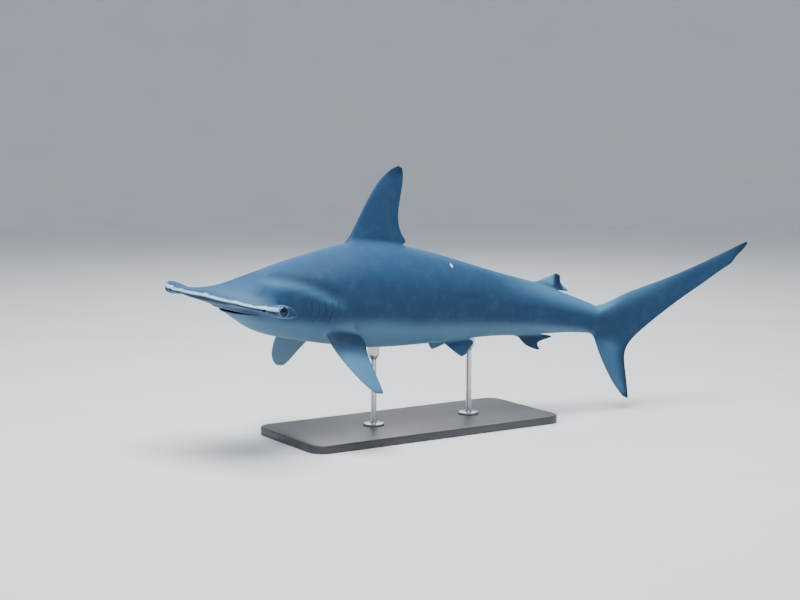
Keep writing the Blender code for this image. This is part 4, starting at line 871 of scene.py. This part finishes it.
# painted light on the back, the wings' upper sides and the crest, painted shade in the hollow above it, and
# the lateral line
topLight = ease(facing, 0.72, 0.97) * (1 - fin) * (x < 1.58)
paintMark("top", np.maximum(topLight, ease(facing, 0.3, 0.8) * onWing))
onNeck = band(x, 0.20, 0.26, 0.44, 0.56) * zone("gillSide") * (side > 0.03)
paintMark("crest", hump(z, curveValues(marks["crest"], x), 0.013) * onNeck)
paintMark("hollowShade", hump(z, curveValues(marks["hollowShade"], x), 0.014) * onNeck)
lateral = hump(z, curveValues(marks["lateralLine"], x), 0.0022)
paintMark("lateral", lateral * zone("lateral") * (side > 0.01) * (1 - fin))
# painted light on the upper side of the tail stock
paintMark("tailLight", band(x, 1.10, 1.40, 1.57, 1.66) * ease(facing, 0.05, 0.65))

# the second dorsal fin gets painted highlights in front and along its free rear end, and is dark behind its
# tip
bright = np.maximum((1 - ease(x, 1.378, 1.394)) * 0.8, ease(x, 1.418, 1.432))
paintMark("finLight", onSecond * bright)
paintMark("finDark", onSecond * band(x, 1.384, 1.398, 1.412, 1.426))

# the tail fin gets painted light along its front edges, and is dark along its rear ones
lobeFront, lobeRear = curveValues(marks["lowerFront"], -z), curveValues(marks["lowerRear"], -z)
lobeShare = rise(x, lobeFront, lobeRear)
onLower = ease(-z, 0.05, 0.11) * zone("tail")
onUpper = ease(z - curveValues(marks["upperFront"], x), -0.060, -0.004) * zone("tail")
onUpper *= 1 - ease(x, 1.68, 1.90)
paintMark("tailFront", np.maximum(onLower * (1 - ease(lobeShare, 0.45, 0.85)), onUpper * 0.9))
paintMark("tailRear", onLower * ease(lobeShare, 0.80, 0.97))
addLayer(skin, "straight", "FLOAT_VECTOR", "vector", straight)
useObject(skin)
bpy.ops.object.shade_smooth()


class Wire:
    # a node's output that can be used in sums
    def __init__(self, finish, socket):
        self.finish, self.socket = finish, socket

    def maths(self, operation, a, b=0.0, clamp=False):
        return self.finish.add("Math", {"operation": operation, "use_clamp": clamp}, {0: a, 1: b})

    def __add__(self, other):
        return self.maths("ADD", self, other)

    __radd__ = __add__

    def __mul__(self, other):
        return self.maths("MULTIPLY", self, other)

    __rmul__ = __mul__

    def __sub__(self, other):
        return self.maths("SUBTRACT", self, other)

    def __rsub__(self, other):
        return self.maths("SUBTRACT", other, self)

    def clipped(self):
        return self.maths("ADD", self, 0.0, clamp=True)

    def larger(self, other):
        return self.maths("MAXIMUM", self, other)

    def ramp(self, low, high):
        return self.finish.add("MapRange", {"interpolation_type": "SMOOTHSTEP"},
                               {"Value": self, "From Min": low, "From Max": high})


class Finish:
    # a material whose nodes are added one by one
    def __init__(self, name, **shader):
        self.material = bpy.data.materials.new(name)
        self.material.use_nodes = True
        self.tree = self.material.node_tree
        self.shader = self.tree.nodes["Principled BSDF"]
        for socket, value in shader.items():
            self.shader.inputs[socket.replace("_", " ")].default_value = value

    def add(self, kind, settings=None, sockets=None, output=0):
        node = self.tree.nodes.new("ShaderNode" + kind)
        for key, value in (settings or {}).items():
            setattr(node, key, value)
        for key, value in (sockets or {}).items():
            if isinstance(value, Wire):
                self.tree.links.new(value.socket, node.inputs[key])
            else:
                node.inputs[key].default_value = value
        return Wire(self, node.outputs[output])

    def feed(self, socket, wire):
        self.tree.links.new(wire.socket, self.shader.inputs[socket])

    def mark(self, name):
        return self.add("Attribute", {"attribute_name": name}, output="Fac")

    def straightPlace(self):
        return self.add("Attribute", {"attribute_name": "straight"}, output="Vector")

    def place(self):
        return self.add("TexCoord", output="Object")

    def stretched(self, vector, scale, turn=(0.0, 0.0, 0.0)):
        return self.add("Mapping", {}, {"Vector": vector, "Rotation": turn, "Scale": scale})

    def awayFrom(self, vector, centre, size):
        # 0 at the centre, 1 on an ellipsoid of that size
        scale = tuple(1 / v for v in size)
        shift = tuple(-c / v for c, v in zip(centre, size))
        near = self.add("Mapping", {}, {"Vector": vector, "Location": shift, "Scale": scale})
        return self.add("VectorMath", {"operation": "LENGTH"}, {0: near}, output="Value")

    def noise(self, vector, scale=1.0, detail=3.0, rough=0.5):
        return self.add("TexNoise", {}, {"Vector": vector, "Scale": scale, "Detail": detail,
                                                   "Roughness": rough})

    def cells(self, vector, scale=1.0, feature="F1"):
        return self.add("TexVoronoi", {"feature": feature}, {"Vector": vector, "Scale": scale},
                        output="Distance")

    def blend(self, factor, a, b):
        return self.add("Mix", {"data_type": "RGBA"}, {0: factor, 6: a, 7: b}, output=2)

    def bump(self, height, strength, distance, below=None):
        sockets = {"Height": height, "Strength": strength, "Distance": distance}
        if below:
            sockets["Normal"] = below
        return self.add("Bump", {}, sockets)


def colour(red, green, blue):
    # screen colour, 0 to 255, to the shader's linear one
    return tuple((c / 255 / 12.92 if c <= 10 else ((c / 255 + 0.055) / 1.055) ** 2.4)
                 for c in (red, green, blue)) + (1.0,)


skinLook = {
    # the top, lift, rim and edge tones serve as painted light and highlights, the lift tone also for lighter
    # mottle and scars; the deep tone is painted shade, and the dusk tone is both the dark fin tips and lines
    # and painted shade
    "top": colour(54, 102, 144), "back": colour(44, 78, 112), "flank": colour(36, 63, 93),
    "belly": colour(82, 116, 141), "rimHighlight": colour(116, 168, 196), "edge": colour(170, 220, 238),
    "lift": colour(80, 126, 160), "duskAndShade": colour(14, 23, 35), "recessShade": colour(5, 10, 17),
    "spot": colour(222, 236, 242), "roughness": 0.54,
    # how strongly each mark is laid on
    "shares": {"fin": 0.75, "top": 0.50, "tailLight": 0.75, "blade": 0.70, "root": 0.62, "tailFront": 0.40,
               "finLight": 0.70, "hollowShade": 0.38, "wingHollowShade": 0.42, "crest": 0.58, "frontUnderShade": 0.60,
               "lateral": 0.16, "rimHighlight": 0.22},
}


def makeSkinFinish():
    f = Finish("shark_skin", IOR=1.4, Specular_IOR_Level=0.16)

    def mark(name):
        return f.mark(name) * skinLook["shares"][name]

    place = f.straightPlace()
    broad = f.noise(place, 6.0, 4.0, 0.55)
    mottle = f.noise(place, 28.0, 5.0, 0.6)
    fine = f.noise(place, 190.0, 3.0, 0.6)
    pale = (f.mark("pale") + (broad - 0.5) * 0.18 + (mottle - 0.5) * 0.10).ramp(0.04, 0.96)
    beads = f.noise(f.stretched(place, (20.0, 150.0, 20.0)), 1.0, 2.0)
    speck = f.cells(place, 240.0)
    scratch = f.cells(f.stretched(place, (5.0, 26.0, 40.0), (0.0, 0.5, 0.0)), 1.0, "DISTANCE_TO_EDGE")
    scarred = (1 - scratch.ramp(0.0, 0.012)) * broad.ramp(0.52, 0.66) * fine.ramp(0.45, 0.60)
    # among these layers, the top, tail light, blade, tail front, fin light, crest, front rim and rim ones are
    # painted light, and the root, hollow, wing hollow and front under ones are painted shade
    layers = [
        (mark("fin"), "flank"), (mark("top"), "top"), (mark("tailLight"), "lift"),
        (mottle.ramp(0.42, 0.80) * 0.12, "lift"), (mark("blade"), "lift"), (pale, "belly"),
        (mark("root"), "duskAndShade"), (mark("tailFront"), "lift"), (mark("finLight"), "rimHighlight"),
        (f.mark("finDark").larger(f.mark("tailRear")) * 0.60, "duskAndShade"), (mark("hollowShade"), "duskAndShade"),
        (mark("wingHollowShade"), "duskAndShade"), (mark("crest"), "lift"), (mark("frontUnderShade"), "duskAndShade"),
        ((f.mark("frontEdgeHighlight") * (beads * 0.9 + 0.50)).clipped(), "edge"),
        (f.mark("finSpan").ramp(0.80, 0.97) * 0.62, "duskAndShade"), (mark("lateral"), "duskAndShade"),
        (mark("rimHighlight"), "rimHighlight"), ((1 - speck.ramp(0.10, 0.34)) * 0.16, "duskAndShade"), (scarred * 0.20, "lift")]
    for centre, size in marks["spots"]:
        layers.append((1 - f.awayFrom(place, centre, size).ramp(0.6, 1.15), "spot"))
    # painted shade inside the slits, mouth, nostrils, sockets and vent
    layers.append((f.mark("recessShade").ramp(0.05, 0.75), "recessShade"))
    # painted light: higher up, the body turns from the flank's tone to the back's lighter one
    height = f.add("SeparateXYZ", {}, {"Vector": place}, output="Z")
    base = f.blend(height.ramp(0.03, 0.17), skinLook["flank"], skinLook["back"])
    for mask, tint in layers:
        base = f.blend(mask, base, skinLook[tint])
    f.feed("Base Color", base)
    f.feed("Roughness", (mottle - 0.5) * 0.16 + fine * 0.12 + (skinLook["roughness"] - 0.04))
    scales = f.cells(f.stretched(place, (480.0, 720.0, 720.0)))
    creases = f.noise(f.stretched(place, (90.0, 18.0, 14.0)), 1.0, 4.0)
    dents = f.bump(scales, 0.12, 0.0006)
    folded = f.bump(creases, 0.10, 0.0020, dents)
    f.feed("Normal", f.bump(mottle, 0.10, 0.0040, folded))
    return f.material


skin.data.materials.clear()
skin.data.materials.append(makeSkinFinish())
flesh = [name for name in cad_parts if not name.startswith(("stand_", "eye_"))]
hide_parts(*flesh)
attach(skin, "root")
print("skin dressed")


eyeLook = {"pupil": colour(2, 9, 26), "irisDark": colour(12, 34, 66), "irisLight": colour(30, 66, 104),
           "ring": colour(120, 164, 196)}


def makeEyeFinish():
    f = Finish("shark_eye", Roughness=0.08, IOR=1.40, Specular_IOR_Level=0.25, Coat_Weight=0.35,
               Coat_Roughness=0.03)
    away = f.mark("fromAxis")
    grain = f.noise(f.place(), 420.0, 3.0)
    iris = f.blend(grain.ramp(0.3, 0.7), eyeLook["irisDark"], eyeLook["irisLight"])
    look = f.blend(away.ramp(0.64, 0.70), eyeLook["pupil"], iris)
    look = f.blend(away.ramp(0.86, 0.90), look, eyeLook["ring"])
    f.feed("Base Color", f.blend(away.ramp(0.93, 0.98), look, eyeLook["pupil"]))
    return f.material


def addEye(node, side):
    clearSelection()
    bpy.ops.mesh.primitive_uv_sphere_add(segments=48, ring_count=28, radius=eyes["radius"])
    eye = bpy.context.object
    eye.name = node + "_ball"
    setMode("EDIT")
    bpy.ops.mesh.select_all(action="SELECT")
    bpy.ops.transform.resize(value=(1.0, 1.0, eyes["depth"] / eyes["radius"]))
    setMode("OBJECT")
    local = readAll(eye.data.vertices, "co")
    away = np.hypot(local[:, 0] / 0.94, local[:, 1]) / eyes["radius"]
    addLayer(eye, "fromAxis", "FLOAT", "value", np.where(local[:, 2] > -0.001, away, 1.2))
    sunk = eyeAxes(side) @ Matrix.Translation((0.0, 0.0, eyes["standOut"] - eyes["depth"]))
    placed = local @ np.array(sunk.to_3x3()).T + np.array(sunk.translation)
    setPlaces(eye, posed(placed))
    useObject(eye)
    bpy.ops.object.shade_smooth()
    eye.data.materials.append(eyeFinish)
    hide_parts(node)
    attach(eye, "root")


eyeFinish = makeEyeFinish()
addEye("eye_left", -1)
addEye("eye_right", 1)
print("eyes placed")


stand = {
    "corner": 0.050, "cornerSteps": 14, "edge": 0.004, "edgeSteps": 4, "grain": (1.2, 34.0, 34.0),
    "dark": colour(38, 40, 43), "light": colour(64, 66, 69), "pore": colour(20, 21, 23),
    "steelDark": colour(176, 180, 184), "steelLight": colour(206, 209, 212), "rodSegments": 64,
    # radius and height above the board of the foot, and above its own bottom of the cup
    "foot": [(0.0338, 0.0010), (0.0340, 0.0042), (0.0330, 0.0062), (0.0306, 0.0070), (0.0122, 0.0070),
             (0.0105, 0.0090), (0.0092, 0.0140)],
    "cup": [(0.0090, -0.018), (0.0105, -0.015), (0.0185, -0.002), (0.0190, 0.001)],
    "cupDepth": 0.026, "intoBody": 0.004,
}


def edgeEnds(made):
    corners = made.data.vertices
    return [[corners[n].co for n in edge.vertices] for edge in made.data.edges]


def makeBoardFinish():
    f = Finish("stand_board", Coat_Weight=0.25, Coat_Roughness=0.25)
    place = f.place()
    warp = f.noise(f.stretched(place, (1.5, 9.0, 9.0)))
    grain = f.noise(f.stretched(place, stand["grain"]), 1.0, 6.0, 0.65)
    pores = f.noise(f.stretched(place, (9.0, 420.0, 420.0)), 1.0, 2.0)
    base = f.blend((grain * 0.7 + warp * 0.3).ramp(0.32, 0.68), stand["dark"], stand["light"])
    f.feed("Base Color", f.blend(pores.ramp(0.58, 0.72) * 0.5, base, stand["pore"]))
    f.feed("Roughness", 0.40 + grain * 0.16)
    f.feed("Normal", f.bump(pores, 0.12, 0.0008))
    return f.material


def addBase():
    low, high = standBox
    clearSelection()
    bpy.ops.mesh.primitive_cube_add(size=1.0, location=(low + high) / 2, scale=high - low)
    board = bpy.context.object
    board.name = "stand_board"
    bpy.ops.object.transform_apply(location=True, rotation=True, scale=True)
    selectParts(board, "EDGE", [abs(a.z - b.z) > 0.01 for a, b in edgeEnds(board)])  # upright corners
    bpy.ops.mesh.bevel(offset=stand["corner"], segments=stand["cornerSteps"], affect="EDGES")
    setMode("OBJECT")
    selectParts(board, "EDGE", [min(a.z, b.z) > high.z - 1e-5 for a, b in edgeEnds(board)])  # top edge
    bpy.ops.mesh.bevel(offset=stand["edge"], segments=stand["edgeSteps"], affect="EDGES")
    setMode("OBJECT")
    bpy.ops.object.shade_smooth_by_angle(angle=math.radians(30))
    board.data.materials.append(makeBoardFinish())
    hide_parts("stand_base")
    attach(board, "root")


def makeSteelFinish():
    f = Finish("stand_steel", Metallic=1.0)
    place = f.place()
    brushed = f.noise(f.stretched(place, (60.0, 60.0, 1400.0)), 1.0, 2.0)
    smear = f.noise(place, 30.0)
    f.feed("Base Color", f.blend(brushed.ramp(0.3, 0.7), stand["steelDark"], stand["steelLight"]))
    f.feed("Roughness", 0.22 + brushed * 0.12 + smear * 0.10)
    f.feed("Normal", f.bump(brushed, 0.06, 0.0004))
    return f.material


def addRod(node, finish):
    low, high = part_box(node)
    x, y = (low.x + high.x) / 2, (low.y + high.y) / 2
    top = high.z - stand["cupDepth"]
    (radius, depth), *foot = stand["foot"]
    profile = [(r, low.z + h) for r, h in foot] + [(r, top + h) for r, h in stand["cup"]]
    profile.append((profile[-1][0], high.z + stand["intoBody"]))
    clearSelection()
    bpy.ops.mesh.primitive_cylinder_add(vertices=stand["rodSegments"], radius=radius, depth=depth,
                                        end_fill_type="NGON", location=(x, y, low.z + depth / 2))
    rod = bpy.context.object
    rod.name = node + "_turned"
    bpy.ops.object.transform_apply(location=True, rotation=True, scale=True)
    selectParts(rod, "FACE", [face.normal.z > 0.9 for face in rod.data.polygons])
    level = low.z + depth
    for newRadius, newLevel in profile:
        bpy.ops.mesh.extrude_region_move(TRANSFORM_OT_translate={"value": (0, 0, newLevel - level)})
        size = newRadius / radius
        bpy.ops.transform.resize(value=(size, size, 1.0))
        radius, level = newRadius, newLevel
    setMode("OBJECT")
    bpy.ops.object.shade_smooth_by_angle(angle=math.radians(32))
    rod.data.materials.append(finish)
    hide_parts(node)
    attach(rod, "root")


addBase()
steelFinish = makeSteelFinish()
addRod("stand_rod_front", steelFinish)
addRod("stand_rod_rear", steelFinish)
print("stand made")


studio = {"radius": 8.0, "bend": 4.0, "bendSteps": 16, "wall": 9.0, "colour": colour(226, 230, 234),
          "worn": colour(221, 226, 231), "worldTone": (0.84, 0.91, 1.0, 1.0), "worldStrength": 0.45}


def addStudio():
    # a floor that bends up into a plain wall all round
    clearSelection()
    bpy.ops.mesh.primitive_circle_add(vertices=128, radius=studio["radius"], fill_type="NGON")
    floor = bpy.context.object
    floor.name = "studio_floor"
    setMode("EDIT")
    bpy.ops.mesh.select_mode(type="EDGE")
    bpy.ops.mesh.select_all(action="SELECT")
    bpy.ops.mesh.region_to_loop()
    radius, height = studio["radius"], 0.0
    for n in range(1, studio["bendSteps"] + 1):
        turn = math.pi / 2 * n / studio["bendSteps"]
        newRadius = studio["radius"] + studio["bend"] * math.sin(turn)
        newHeight = studio["bend"] * (1 - math.cos(turn))
        bpy.ops.mesh.extrude_edges_move(TRANSFORM_OT_translate={"value": (0, 0, newHeight - height)})
        bpy.ops.transform.resize(value=(newRadius / radius, newRadius / radius, 1.0))
        radius, height = newRadius, newHeight
    bpy.ops.mesh.extrude_edges_move(TRANSFORM_OT_translate={"value": (0, 0, studio["wall"] - height)})
    setMode("OBJECT")
    bpy.ops.object.shade_smooth_by_angle(angle=math.radians(40))
    f = Finish("studio_floor", Roughness=0.85)
    f.feed("Base Color", f.blend(f.noise(f.place(), 2.0).ramp(0.3, 0.7), studio["colour"], studio["worn"]))
    floor.data.materials.append(f.material)


lamps = {
    "overhead": {"place": (-0.9, -0.5, 4.4), "size": 3.2, "power": 400.0, "tone": (1.0, 0.99, 0.97)},
    "fill": {"place": (-3.8, -4.2, 2.6), "size": 3.0, "power": 60.0, "tone": (0.94, 0.97, 1.0),
             "inGloss": False},
    "rear": {"place": (2.2, 3.6, 3.2), "size": 2.4, "power": 90.0, "tone": (0.94, 0.97, 1.0)},
}


def addLamp(name, place, size, power, tone, inGloss=True, target=(-0.1, 0.0, 0.42)):
    lamp = bpy.data.lights.new(name, "AREA")
    lamp.shape, lamp.size, lamp.energy, lamp.color = "DISK", size, power, tone
    made = addToScene(name, lamp)
    made.location = place
    made.visible_glossy = inGloss
    made.rotation_euler = (Vector(place) - Vector(target)).to_track_quat("Z", "Y").to_euler()


def addWorld():
    world = bpy.data.worlds.new("studio")
    bpy.context.scene.world = world
    world.use_nodes = True
    sky = world.node_tree.nodes["Background"]
    sky.inputs["Color"].default_value = studio["worldTone"]
    sky.inputs["Strength"].default_value = studio["worldStrength"]


addStudio()
for name, lamp in lamps.items():
    addLamp(name, **lamp)
addWorld()

view = {"azimuth": -32.6, "elevation": 7.2, "distance": 5.368, "right": 0.011, "up": 0.0132,
        "focal": 1666.0, "frameWidth": 800, "sensor": 36.0}


def addCamera():
    azimuth, elevation = math.radians(view["azimuth"]), math.radians(view["elevation"])
    back = Vector((math.sin(azimuth) * math.cos(elevation), -math.cos(azimuth) * math.cos(elevation),
                   math.sin(elevation)))
    right = Vector((math.cos(azimuth), math.sin(azimuth), 0.0))
    centre = Vector((modelShift[0], modelShift[1], swimPose["level"]))
    lens = bpy.data.cameras.new("camera")
    lens.sensor_width = view["sensor"]
    lens.lens = view["focal"] / view["frameWidth"] * view["sensor"]
    lens.clip_end = 60.0
    camera = addToScene("camera", lens)
    camera.location = (centre + view["right"] * right + view["up"] * back.cross(right)
                       + view["distance"] * back)
    camera.rotation_euler = back.to_track_quat("Z", "Y").to_euler()
    bpy.context.scene.camera = camera


addCamera()
print("scene ready")
